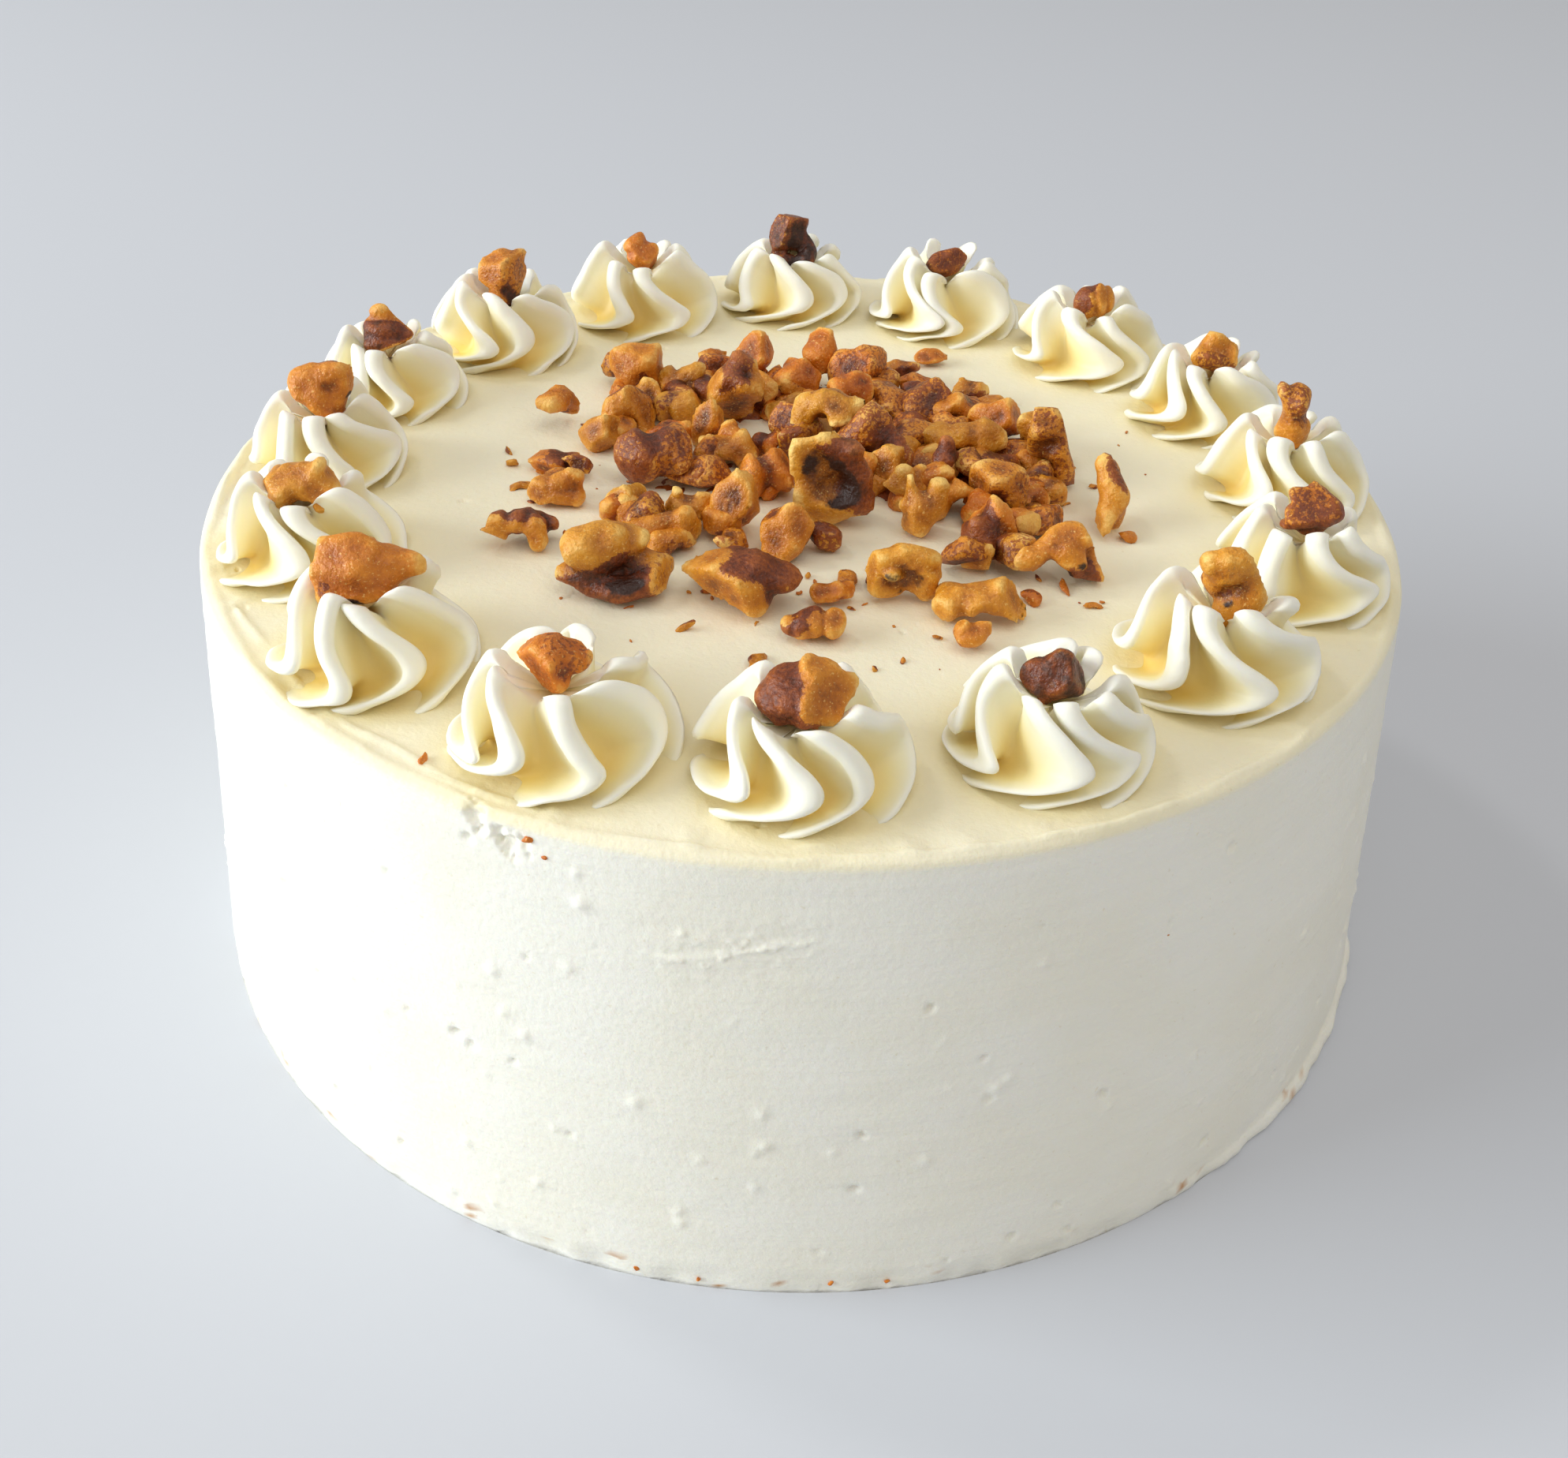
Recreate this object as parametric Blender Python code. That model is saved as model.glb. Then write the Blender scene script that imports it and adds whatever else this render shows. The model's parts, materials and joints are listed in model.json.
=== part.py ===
"""A whole round carrot cake under cream cheese icing.

A ring of sixteen piped rosettes stands round the rim, each with a piece of walnut pressed into it, and
chopped walnuts lie in a heap in the middle. The cake stands on z = 0 with its axis on the z axis, and its
front is towards -y. Azimuths are in degrees, anticlockwise from the front as seen from above.
"""

import math
import random

import bmesh
import bpy
from mathutils import Matrix, Vector, noise

MM = 0.001
GAP = 0.3 * MM  # between pieces that rest on each other

# The iced cake.
CAKE_HEIGHT = 81 * MM
TOP_RADIUS = 105 * MM
WALL_FOOT_RADIUS = 112.4 * MM  # where the sloping wall meets the foot
FOOT_RADIUS = 114 * MM
FOOT_HEIGHT = 3.2 * MM
RIM_ROUNDING = 3.2 * MM
CAKE_SEGMENTS = 76

# The rosettes, in order round the rim: azimuth, ring radius, own radius, height (degrees, then millimetres).
ROSETTES = (
    (1.0, 85.0, 16.4, 14.4),
    (25.0, 85.0, 15.6, 14.2),
    (49.5, 84.5, 17.2, 15.0),
    (71.0, 87.5, 15.2, 14.4),
    (92.5, 87.0, 15.6, 14.2),
    (114.5, 86.5, 15.8, 14.4),
    (136.0, 84.5, 16.6, 14.2),
    (160.0, 85.5, 16.8, 15.0),
    (182.6, 87.0, 16.2, 14.4),
    (205.0, 86.0, 16.8, 14.6),
    (227.8, 85.0, 16.4, 15.2),
    (248.4, 87.0, 14.8, 14.2),
    (268.8, 86.0, 15.6, 14.4),
    (290.0, 87.0, 16.2, 14.6),
    (313.8, 87.0, 16.6, 15.4),
    (337.2, 86.0, 17.6, 14.8),
)
BLADES = 7
LEVELS = (0.0, 0.22, 0.48, 0.74, 1.0)
# Along a blade, from the base to the tip: how far along, then the crest's radius and height as shares of the
# rosette's, and the degrees that the crest has turned.
CREST = (
    (0.00, 0.88, 0.00, 0),
    (0.22, 0.98, 0.16, 26),
    (0.48, 0.90, 0.44, 50),
    (0.74, 0.62, 0.68, 62),
    (1.00, 0.35, 0.98, 56),
)
# The crease between two blades: how far along, then its radius and height in the same shares.
CREASE = (
    (0.00, 0.64, 0.00),
    (0.22, 0.60, 0.09),
    (0.48, 0.50, 0.26),
    (0.74, 0.36, 0.44),
    (1.00, 0.20, 0.60),
)
# Across a blade: the place as a share of the blade's pitch, and how much of the crest is reached there.
BLADE_SECTION = ((-0.5, 0.0), (-0.14, 1.0), (0.14, 1.0))

CROWN_DIP = 0.04  # of the rosette's height, from the creases' tops down to its middle

# The walnut pieces on the rosettes, in the same order: length, width, height, bend and heading (millimetres
# and degrees), waist as a share of the ends, and the height of its middle over the cake (millimetres).
ROSETTE_NUTS = (
    (14.0, 9.0, 9.0, 15, 24, 0.80, 13.8),
    (9.5, 8.5, 8.5, 0, 0, 1.10, 13.2),
    (10.5, 8.0, 13.0, 40, -10, 0.75, 15.6),
    (10.0, 8.0, 8.5, 10, -25, 1.15, 14.5),
    (7.5, 7.0, 12.0, 0, 0, 0.75, 15.5),
    (9.5, 8.0, 8.5, 20, 15, 1.00, 13.8),
    (8.5, 8.0, 7.5, 10, 0, 1.10, 13.4),
    (9.0, 7.0, 6.0, 20, 0, 0.95, 13.4),
    (11.0, 10.0, 11.5, 30, 30, 1.00, 15.0),
    (7.0, 7.0, 8.5, 0, 40, 0.95, 13.6),
    (9.0, 8.5, 11.5, 25, 60, 0.90, 15.4),
    (9.5, 8.0, 9.0, 5, -15, 1.05, 14.4),
    (11.0, 9.0, 11.5, 30, 20, 0.85, 14.8),
    (13.5, 7.5, 8.5, 10, 32, 0.65, 13.4),
    (16.5, 9.5, 10.0, 20, -18, 0.90, 16.4),
    (12.5, 9.5, 9.0, 15, -22, 1.05, 13.8),
)

# The larger walnut pieces that lie clear of the heap: x and y of the middle, then length, width, height,
# bend, heading and waist as above.
LOOSE_NUTS = (
    (-47.5, -24.2, 13.0, 8.0, 6.5, 70, 4, 0.85),
    (-43.4, -8.0, 10.5, 7.5, 6.5, 10, 4, 1.10),
    (-30.0, -38.0, 19.0, 11.5, 11.5, 25, -6, 0.90),
    (-9.2, -40.2, 19.5, 11.5, 9.0, 10, -14, 1.00),
    (2.4, -49.8, 10.5, 6.0, 4.5, 25, 8, 0.90),
    (5.4, -39.4, 7.5, 4.6, 3.8, 10, 4, 1.00),
    (16.8, -36.4, 12.5, 9.5, 10.0, 50, 4, 0.95),
    (29.0, -42.2, 15.5, 7.5, 7.0, 20, 12, 0.70),
    (27.2, -51.2, 5.6, 4.6, 4.4, 0, 30, 1.00),
    (42.8, -28.6, 15.5, 9.0, 10.0, 60, 4, 0.80),
    (53.6, -10.0, 13.5, 5.0, 12.0, 30, 78, 0.85),
    (25.7, 56.5, 7.0, 4.4, 3.2, 10, 10, 0.95),
)
NUT_STATIONS = 6
NUT_SIDES = 7
NUT_TIP = 0.55  # the thickness of a nut's very ends, as a share of its full thickness
NUT_LEAN = 0.7  # how far its cross-sections lean over where it bends
NUT_DROP = 0.2  # how far its ends drop for each radian of bend, as a share of its length
NUT_ROUGH = (0.86, 1.10)  # the range of its corners' distances from its middle line
CORNER_CUT = 0.3  # off the corners of the hollow that a nut is pressed into, as a share of its half size
HOLLOW_SHOULDER = 0.35  # how far below the nut's middle the hollow is full width, in shares of half its height

# The heap: middle, then the radius of its outline every thirty degrees from the +x side, in millimetres.
HEAP_MIDDLE = (4.0, 5.0)
HEAP_OUTLINE = (43, 42, 37, 38, 39, 42, 43, 35, 33, 33, 34, 40)
HEAP_RISE = 15 * MM
HEAP_EDGE = 5 * MM
HEAP_SECTORS = 34
HEAP_RINGS = 7
HEAP_RAGGED = 0.09  # how far its outline wanders, as a share of the radius
HEAP_WAVES = 4  # how finely its outline wanders
HEAP_FLATTENING = 2.4  # over 1, its top is flatter than a cone's
HEAP_LUMP = 8.5 * MM  # the spacing of its lumps
HEAP_LUMP_DEPTH = 4.6 * MM
HEAP_LUMP_MIDDLE = 1.4  # the lumps' depth in the middle, as a share of that; they fade towards the edge


def material(name, colour, roughness):
    made = bpy.data.materials.new(name)
    made.use_nodes = True
    shader = made.node_tree.nodes["Principled BSDF"]
    shader.inputs["Base Color"].default_value = (*colour, 1)
    shader.inputs["Roughness"].default_value = roughness
    shader.inputs["Metallic"].default_value = 0
    return made


def add_object(name, mesh_maker, finish):
    """Adds the solid that mesh_maker has built in a bmesh, with its faces turned out."""
    bmesh.ops.recalc_face_normals(mesh_maker, faces=mesh_maker.faces)
    mesh = bpy.data.meshes.new(name)
    mesh_maker.to_mesh(mesh)
    mesh_maker.free()
    mesh.materials.append(finish)
    made = bpy.data.objects.new(name, mesh)
    bpy.context.scene.collection.objects.link(made)
    return made


def closed_stack(rings, bottom_point=None, top_point=None):
    """A solid from rings of equally many points. Its ends are flat, or run to a point of their own."""
    shape = bmesh.new()
    rows = [[shape.verts.new(point) for point in ring] for ring in rings]
    count = len(rows[0])
    for lower, upper in zip(rows, rows[1:]):
        for i in range(count):
            j = (i + 1) % count
            shape.faces.new((lower[i], lower[j], upper[j], upper[i]))
    for row, point in ((rows[0], bottom_point), (rows[-1], top_point)):
        if point is None:
            shape.faces.new(row)
            continue
        tip = shape.verts.new(point)
        for i in range(count):
            shape.faces.new((row[i], row[(i + 1) % count], tip))
    return shape


def on_ring(azimuth, radius):
    """The x and y of a point at this azimuth, in degrees from the front."""
    angle = math.radians(azimuth)
    return math.sin(angle) * radius, -math.cos(angle) * radius


def along(rows, t):
    """The values at t of a table whose rows start with their own t, by straight lines between the rows."""
    for low, high in zip(rows, rows[1:]):
        if t <= high[0]:
            share = (t - low[0]) / (high[0] - low[0])
            return [a + (b - a) * share for a, b in zip(low[1:], high[1:])]
    return list(rows[-1][1:])


def cake_body(finish):
    """The iced cake, turned: a foot of icing, a wall that slopes in slightly, and a rounded rim."""
    rim_start = CAKE_HEIGHT - RIM_ROUNDING
    profile = [
        (FOOT_RADIUS - 0.6 * MM, 0),
        (FOOT_RADIUS, 0.7 * MM),
        (FOOT_RADIUS - 0.3 * MM, FOOT_HEIGHT - 0.9 * MM),
        (WALL_FOOT_RADIUS, FOOT_HEIGHT),
    ]
    for turn in (0, 30, 60, 90):
        angle = math.radians(turn)
        radius = TOP_RADIUS - RIM_ROUNDING * (1 - math.cos(angle))
        profile.append((radius, rim_start + RIM_ROUNDING * math.sin(angle)))
    turns = [2 * math.pi * i / CAKE_SEGMENTS for i in range(CAKE_SEGMENTS)]
    rings = [[(r * math.cos(a), r * math.sin(a), z) for a in turns] for r, z in profile]
    body = add_object("cake_body", closed_stack(rings), finish)
    body.data.shade_smooth()
    body.data.set_sharp_from_angle(angle=math.radians(35))


def rosette(name, azimuth, ring_radius, radius, height, seed, finish):
    """One piped swirl: blades that lean and turn as they rise to a tip, with deep creases between them."""
    chance = random.Random(seed)
    start = chance.uniform(0, 360)
    reach = [chance.uniform(0.93, 1.0) for _ in range(BLADES)]
    lift = [chance.uniform(0.90, 1.0) for _ in range(BLADES)]
    pitch = 360 / BLADES
    rings = []
    for level in LEVELS:
        crest_radius, crest_height, turn = along(CREST, level)
        crease_radius, crease_height = along(CREASE, level)
        ring = []
        for blade in range(BLADES):
            for place, share in BLADE_SECTION:
                r = crease_radius + (crest_radius * reach[blade] - crease_radius) * share
                z = crease_height + (crest_height * lift[blade] - crease_height) * share
                angle = math.radians(start + turn + (blade + place) * pitch)
                ring.append((r * radius * math.cos(angle), r * radius * math.sin(angle), z * height))
        rings.append(ring)
    top_point = (0, 0, height * (CREASE[-1][2] - CROWN_DIP))
    made = add_object(name, closed_stack(rings, top_point=top_point), finish)
    made.location = (*on_ring(azimuth, ring_radius), CAKE_HEIGHT + GAP)
    return made


def nut_shape(size, bend, waist, seed):
    """A broken piece of walnut kernel, lying along x with its middle at the origin.

    It is a lumpy bar bent upwards in the middle, with fat or thin ends by its waist.
    """
    chance = random.Random(seed)
    bent = math.radians(bend)
    rings = []
    for station in range(NUT_STATIONS):
        u = 2 * station / (NUT_STATIONS - 1) - 1
        taper = NUT_TIP + (1 - NUT_TIP) * math.sqrt(max(0.0, 1 - u**4))
        fat = taper * (waist + (1 - waist) * abs(u)) * chance.uniform(0.90, 1.08)
        lean = u * bent
        ring = []
        for side in range(NUT_SIDES):
            angle = 2 * math.pi * (side + 0.5 * (station % 2)) / NUT_SIDES
            reach = fat * chance.uniform(*NUT_ROUGH) / 2
            across, up = math.cos(angle) * reach, math.sin(angle) * reach
            ahead = u / 2 + up * math.sin(lean) * NUT_LEAN
            ring.append(Vector((ahead, across, up * math.cos(lean) - u**2 * bent * NUT_DROP)))
        rings.append(ring)
    points = [point for ring in rings for point in ring]
    low = [min(point[i] for point in points) for i in range(3)]
    high = [max(point[i] for point in points) for i in range(3)]
    for point in points:
        for i in range(3):
            point[i] = ((point[i] - low[i]) / (high[i] - low[i]) - 0.5) * size[i]
    return closed_stack(rings)


def nut(name, size, bend, waist, heading, middle, seed, finish):
    made = add_object(name, nut_shape(size, bend, waist, seed), finish)
    made.matrix_world = Matrix.Translation(middle) @ Matrix.Rotation(math.radians(heading), 4, "Z")
    return made


def hollow_for(piece, depth, finish):
    """The cutter of the hollow that a piece is pressed into: a box with cut corners, open to above."""
    half = [max(abs(vertex.co[i]) for vertex in piece.data.vertices) + GAP for i in range(3)]
    inner = 1 - CORNER_CUT
    outline = [(1, inner), (inner, 1), (-inner, 1), (-1, inner)]
    outline += [(-x, -y) for x, y in outline]
    levels = ((inner, -half[2]), (1, -HOLLOW_SHOULDER * half[2]), (1, depth))
    rings = [[(x * half[0] * share, y * half[1] * share, z) for x, y in outline] for share, z in levels]
    cutter = add_object(f"hollow_for_{piece.name}", closed_stack(rings), finish)
    cutter.matrix_world = piece.matrix_world
    return cutter


def press_into(target, cutter):
    """Cuts the hollow that a pressed-in piece leaves."""
    cutter.hide_render = True
    cutter.display_type = "WIRE"
    cut = target.modifiers.new("pressed_in", "BOOLEAN")
    cut.operation = "DIFFERENCE"
    cut.solver = "EXACT"
    cut.object = cutter


def rosette_ring(icing, kernel):
    """The sixteen rosettes, each with its piece of walnut."""
    for i, (place, piece) in enumerate(zip(ROSETTES, ROSETTE_NUTS), start=1):
        azimuth, ring_radius, radius, height = place
        length, width, tall, bend, heading, waist, over_cake = piece
        swirl = rosette(f"rosette_{i:02d}", azimuth, ring_radius * MM, radius * MM, height * MM, i, icing)
        size = (length * MM, width * MM, tall * MM)
        middle = (*on_ring(azimuth, ring_radius * MM), CAKE_HEIGHT + over_cake * MM)
        piece = nut(f"walnut_piece_{i:02d}", size, bend, waist, heading, middle, i, kernel)
        press_into(swirl, hollow_for(piece, height * MM, kernel))


def loose_nuts(kernel):
    for i, row in enumerate(LOOSE_NUTS, start=1):
        x, y, length, width, height, bend, heading, waist = row
        size = (length * MM, width * MM, height * MM)
        middle = (x * MM, y * MM, CAKE_HEIGHT + GAP + height * MM / 2)
        nut(f"walnut_loose_{i:02d}", size, bend, waist, heading, middle, 100 + i, kernel)


def heap_outline(angle):
    """The heap's radius at this angle from +x, smooth between the values of its outline."""
    count = len(HEAP_OUTLINE)
    place = angle / (2 * math.pi) * count
    low = int(place) % count
    share = (1 - math.cos(math.pi * (place - int(place)))) / 2
    radius = HEAP_OUTLINE[low] * (1 - share) + HEAP_OUTLINE[(low + 1) % count] * share
    return radius * MM


def walnut_heap(kernel):
    """The chopped walnuts that lie together, as one lumpy mound out to their outline."""
    rings = []
    base = CAKE_HEIGHT + GAP
    middle = Vector((HEAP_MIDDLE[0] * MM, HEAP_MIDDLE[1] * MM, 0))
    for ring in range(HEAP_RINGS + 1):
        share = 1 - max(0, ring - 1) / HEAP_RINGS
        row = []
        for sector in range(HEAP_SECTORS):
            angle = 2 * math.pi * sector / HEAP_SECTORS
            wander = Vector((math.cos(angle) * HEAP_WAVES, math.sin(angle) * HEAP_WAVES, 5))
            edge = 1 + HEAP_RAGGED * noise.noise(wander)
            out = heap_outline(angle) * share * edge
            point = middle + Vector((math.cos(angle) * out, math.sin(angle) * out, 0))
            dome = HEAP_EDGE + (HEAP_RISE - HEAP_EDGE) * (1 - share**HEAP_FLATTENING)
            lump = HEAP_LUMP_DEPTH * noise.noise(point / HEAP_LUMP) * (HEAP_LUMP_MIDDLE - share)
            row.append((point.x, point.y, base if ring == 0 else base + dome + lump))
        rings.append(row)
    top_lump = HEAP_LUMP_DEPTH * noise.noise(middle / HEAP_LUMP)
    top_point = (middle.x, middle.y, base + HEAP_RISE + top_lump)
    add_object("walnut_heap", closed_stack(rings, top_point=top_point), kernel)


def main():
    for old in list(bpy.data.objects):
        bpy.data.objects.remove(old, do_unlink=True)
    icing = material("icing", (0.90, 0.83, 0.66), 0.45)
    kernel = material("walnut", (0.50, 0.24, 0.07), 0.55)
    cake_body(icing)
    rosette_ring(icing, kernel)
    loose_nuts(kernel)
    walnut_heap(kernel)


main()
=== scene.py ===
"""The looks of a whole round carrot cake: smooth cream cheese icing, piped rosettes and toasted walnuts.

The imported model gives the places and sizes. This script adds what is too fine for it: the pitted, scraped
surface of the icing, the thin lips of the rosettes, every piece of walnut with its skin, broken faces and
hollows, and the crumbs. Lengths are in metres, and MM turns millimetres into them. The front is towards -y.
"""

import json
import math

import bmesh
import bpy
import numpy as np
from mathutils import Euler, Matrix, Vector

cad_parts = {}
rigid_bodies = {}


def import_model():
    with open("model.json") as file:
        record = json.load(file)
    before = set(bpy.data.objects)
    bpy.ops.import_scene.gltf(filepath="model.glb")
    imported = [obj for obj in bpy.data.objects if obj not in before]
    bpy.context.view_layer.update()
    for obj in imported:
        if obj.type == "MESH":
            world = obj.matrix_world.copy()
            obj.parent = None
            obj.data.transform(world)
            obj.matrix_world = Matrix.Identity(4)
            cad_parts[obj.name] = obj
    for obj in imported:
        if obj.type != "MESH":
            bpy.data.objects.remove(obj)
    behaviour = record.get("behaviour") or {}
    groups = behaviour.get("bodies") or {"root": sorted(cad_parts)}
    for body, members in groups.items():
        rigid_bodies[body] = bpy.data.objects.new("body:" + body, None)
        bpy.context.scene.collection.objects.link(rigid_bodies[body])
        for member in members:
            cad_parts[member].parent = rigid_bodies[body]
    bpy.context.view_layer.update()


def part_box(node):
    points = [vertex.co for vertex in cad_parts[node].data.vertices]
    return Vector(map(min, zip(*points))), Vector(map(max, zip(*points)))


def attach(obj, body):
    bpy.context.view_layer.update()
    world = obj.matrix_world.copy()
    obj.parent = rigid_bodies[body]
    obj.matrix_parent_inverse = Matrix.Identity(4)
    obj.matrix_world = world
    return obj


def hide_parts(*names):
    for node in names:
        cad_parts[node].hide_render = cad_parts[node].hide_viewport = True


MM = 0.001

for leftover in list(bpy.data.objects):
    bpy.data.objects.remove(leftover)

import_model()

body_low, body_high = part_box("cake_body")
CAKE_TOP = body_high.z
FOOT_RADIUS = (body_high.x - body_low.x) / 2
TOP_RADIUS = FOOT_RADIUS - 9 * MM
WALL_FOOT_RADIUS = FOOT_RADIUS - 1.6 * MM


# ---------------------------------------------------------------- numbers


def lattice_value(x, y, z, seed):
    """A fixed random number from -1 to 1 for each point of an integer lattice."""
    mixed = (x * 73856093) ^ (y * 19349663) ^ (z * 83492791) ^ (seed * 49979687)
    mixed = (mixed ^ (mixed >> 13)) * 1274126177
    mixed = mixed ^ (mixed >> 16)
    return (mixed & 0xFFFF) / 32767.5 - 1


def noise(points, cell, seed):
    """Smooth noise from -1 to 1 at each point, with features about one cell wide."""
    scaled = np.asarray(points) / cell
    base = np.floor(scaled).astype(np.int64)
    share = scaled - base
    share = share**3 * (share * (share * 6 - 15) + 10)
    total = 0
    for corner in range(8):
        step = (corner & 1, corner >> 1 & 1, corner >> 2)
        weight = 1
        for axis in range(3):
            weight = weight * (share[..., axis] if step[axis] else 1 - share[..., axis])
        value = lattice_value(*(base[..., axis] + step[axis] for axis in range(3)), seed)
        total = total + weight * value
    return total


def layered_noise(points, cell, seed, layers=3):
    """Noise with finer and fainter noise on it."""
    total = 0
    for layer in range(layers):
        total = total + noise(points, cell / 2**layer, seed + 101 * layer) / 2**layer
    return total / (2 - 2 ** (1 - layers))


def ease(value, low, high):
    """0 up to low, 1 from high on, and a smooth step between them."""
    share = np.clip((np.asarray(value, float) - low) / (high - low), 0, 1)
    return share * share * (3 - 2 * share)


def curve_through(rows, t):
    """The values at t of a smooth curve through rows that start with their own t."""
    table = np.array(rows, float)
    times, values = table[:, 0], table[:, 1:]
    slopes = np.gradient(values, times, axis=0)
    k = np.clip(np.searchsorted(times, t, side="right") - 1, 0, len(times) - 2)
    span = times[k + 1] - times[k]
    s = (t - times[k]) / span
    return (
        (2 * s**3 - 3 * s**2 + 1) * values[k]
        + (s**3 - 2 * s**2 + s) * span * slopes[k]
        + (3 * s**2 - 2 * s**3) * values[k + 1]
        + (s**3 - s**2) * span * slopes[k + 1]
    )


# ---------------------------------------------------------------- pieces


def add_piece(name, points, faces, finish, slot, replaced=(), **attributes):
    """Adds a smooth mesh as a piece of the cake, which stands for the replaced nodes."""
    mesh = bpy.data.meshes.new(name)
    mesh.from_pydata(np.asarray(points).tolist(), [], [list(map(int, face)) for face in faces])
    mesh.update()
    mesh.shade_smooth()
    for key, values in attributes.items():
        layer = mesh.attributes.new(key, "FLOAT", "POINT")
        layer.data.foreach_set("value", np.asarray(values, np.float32))
    mesh.materials.append(finish)
    piece = bpy.data.objects.new(name, mesh)
    bpy.context.scene.collection.objects.link(piece)
    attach(piece, "root")
    if replaced:
        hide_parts(*replaced)
    return piece


class Gathered:
    """Meshes and their attributes, gathered to be joined into one piece."""

    def __init__(self):
        self.points, self.faces, self.values, self.count = [], [], {}, 0

    def add(self, points, faces, **attributes):
        self.points.append(np.asarray(points))
        self.faces.extend((np.asarray(faces) + self.count).tolist())
        for key, values in attributes.items():
            self.values.setdefault(key, []).append(values)
        self.count += len(points)

    def piece(self, name, finish, slot, replaced=()):
        joined = {key: np.concatenate(values) for key, values in self.values.items()}
        return add_piece(name, np.concatenate(self.points), self.faces, finish, slot, replaced, **joined)


# ---------------------------------------------------------------- materials


def linear(red, green, blue):
    """A colour of 0 to 255 as the renderer's linear values."""
    parts = []
    for part in (red, green, blue):
        share = part / 255
        parts.append(share / 12.92 if share <= 0.04045 else ((share + 0.055) / 1.055) ** 2.4)
    return (*parts, 1)


class Finish:
    """A Principled material and short ways of adding nodes to it."""

    def __init__(self, name, **settings):
        self.material = bpy.data.materials.new(name)
        self.material.use_nodes = True
        self.tree = self.material.node_tree
        self.shader = self.tree.nodes["Principled BSDF"]
        for socket, value in settings.items():
            self.shader.inputs[socket.replace("_", " ")].default_value = value

    def node(self, kind, **inputs):
        made = self.tree.nodes.new(kind)
        for socket, value in inputs.items():
            self.plug(made, socket.replace("_", " "), value)
        return made

    def plug(self, node, socket, value):
        if isinstance(value, bpy.types.NodeSocket):
            self.tree.links.new(value, node.inputs[socket])
        else:
            node.inputs[socket].default_value = value

    def attribute(self, name):
        made = self.tree.nodes.new("ShaderNodeAttribute")
        made.attribute_name = name
        return made.outputs["Fac"]

    def noise(self, size, detail=3.0, roughness=0.55, stretch=(1, 1, 1)):
        """Noise with features about this size, in metres, in the object's own coordinates."""
        place = self.node("ShaderNodeTexCoord").outputs["Object"]
        if stretch != (1, 1, 1):
            place = self.node("ShaderNodeMapping", Vector=place, Scale=stretch).outputs["Vector"]
        return self.node(
            "ShaderNodeTexNoise", Vector=place, Scale=1 / size, Detail=detail, Roughness=roughness
        ).outputs["Fac"]

    def steps(self, value, *stops):
        """A colour ramp from (place, colour) stops."""
        ramp = self.node("ShaderNodeValToRGB", Fac=value)
        points = ramp.color_ramp.elements
        while len(points) < len(stops):
            points.new(0.5)
        for point, (place, colour) in zip(points, stops):
            point.position = place
            point.color = colour
        return ramp.outputs["Color"]

    def between(self, value, low, high, start=0.0, end=1.0):
        """The value, mapped from low..high to start..end."""
        made = self.node("ShaderNodeMapRange", Value=value)
        made.inputs["From Min"].default_value = low
        made.inputs["From Max"].default_value = high
        made.inputs["To Min"].default_value = start
        made.inputs["To Max"].default_value = end
        made.interpolation_type = "SMOOTHSTEP"
        return made.outputs["Result"]

    def mix(self, share, first, second):
        made = self.tree.nodes.new("ShaderNodeMix")
        made.data_type = "RGBA"
        for socket, value in ((0, share), (6, first), (7, second)):
            if isinstance(value, bpy.types.NodeSocket):
                self.tree.links.new(value, made.inputs[socket])
            else:
                made.inputs[socket].default_value = value
        return made.outputs[2]

    def math(self, operation, first, second):
        made = self.tree.nodes.new("ShaderNodeMath")
        made.operation = operation
        for socket, value in ((0, first), (1, second)):
            if isinstance(value, bpy.types.NodeSocket):
                self.tree.links.new(value, made.inputs[socket])
            else:
                made.inputs[socket].default_value = value
        return made.outputs[0]

    def bump(self, height, distance, strength=1.0):
        made = self.node("ShaderNodeBump", Height=height, Strength=strength, Distance=distance)
        self.tree.links.new(made.outputs["Normal"], self.shader.inputs["Normal"])

    def colour(self, value):
        self.plug(self.shader, "Base Color", value)

    def rough(self, value):
        self.plug(self.shader, "Roughness", value)


def icing_finish():
    """Cream cheese icing: off-white, soft, with a fine grain and faint scraper marks."""
    made = Finish(
        "icing",
        Subsurface_Weight=0.25,
        Subsurface_Radius=(1.0, 0.8, 0.5),
        Subsurface_Scale=2.5 * MM,
        Specular_IOR_Level=0.35,
    )
    patches = made.noise(22 * MM, detail=2)
    pale = made.mix(made.between(patches, 0.35, 0.65), linear(248, 244, 230), linear(250, 247, 236))
    # Painted shade: the top, and most of all the icing beside the rosettes, turns a warmer, darker cream.
    pale = made.mix(made.attribute("painted_warm_shade"), pale, linear(243, 230, 187))
    speck = made.between(made.noise(0.9 * MM, detail=1), 0.72, 0.8)
    pale = made.mix(made.math("MULTIPLY", speck, 0.25), pale, linear(214, 196, 150))
    crumbed = made.attribute("crumbed")
    made.colour(made.mix(crumbed, pale, linear(196, 140, 84)))
    made.rough(made.between(patches, 0.3, 0.7, 0.5, 0.62))
    grain = made.noise(1.1 * MM, detail=4)
    scrape = made.noise(9 * MM, detail=3, stretch=(0.3, 0.3, 6))
    made.bump(made.math("ADD", grain, scrape), 0.15 * MM)
    return made.material


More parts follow.
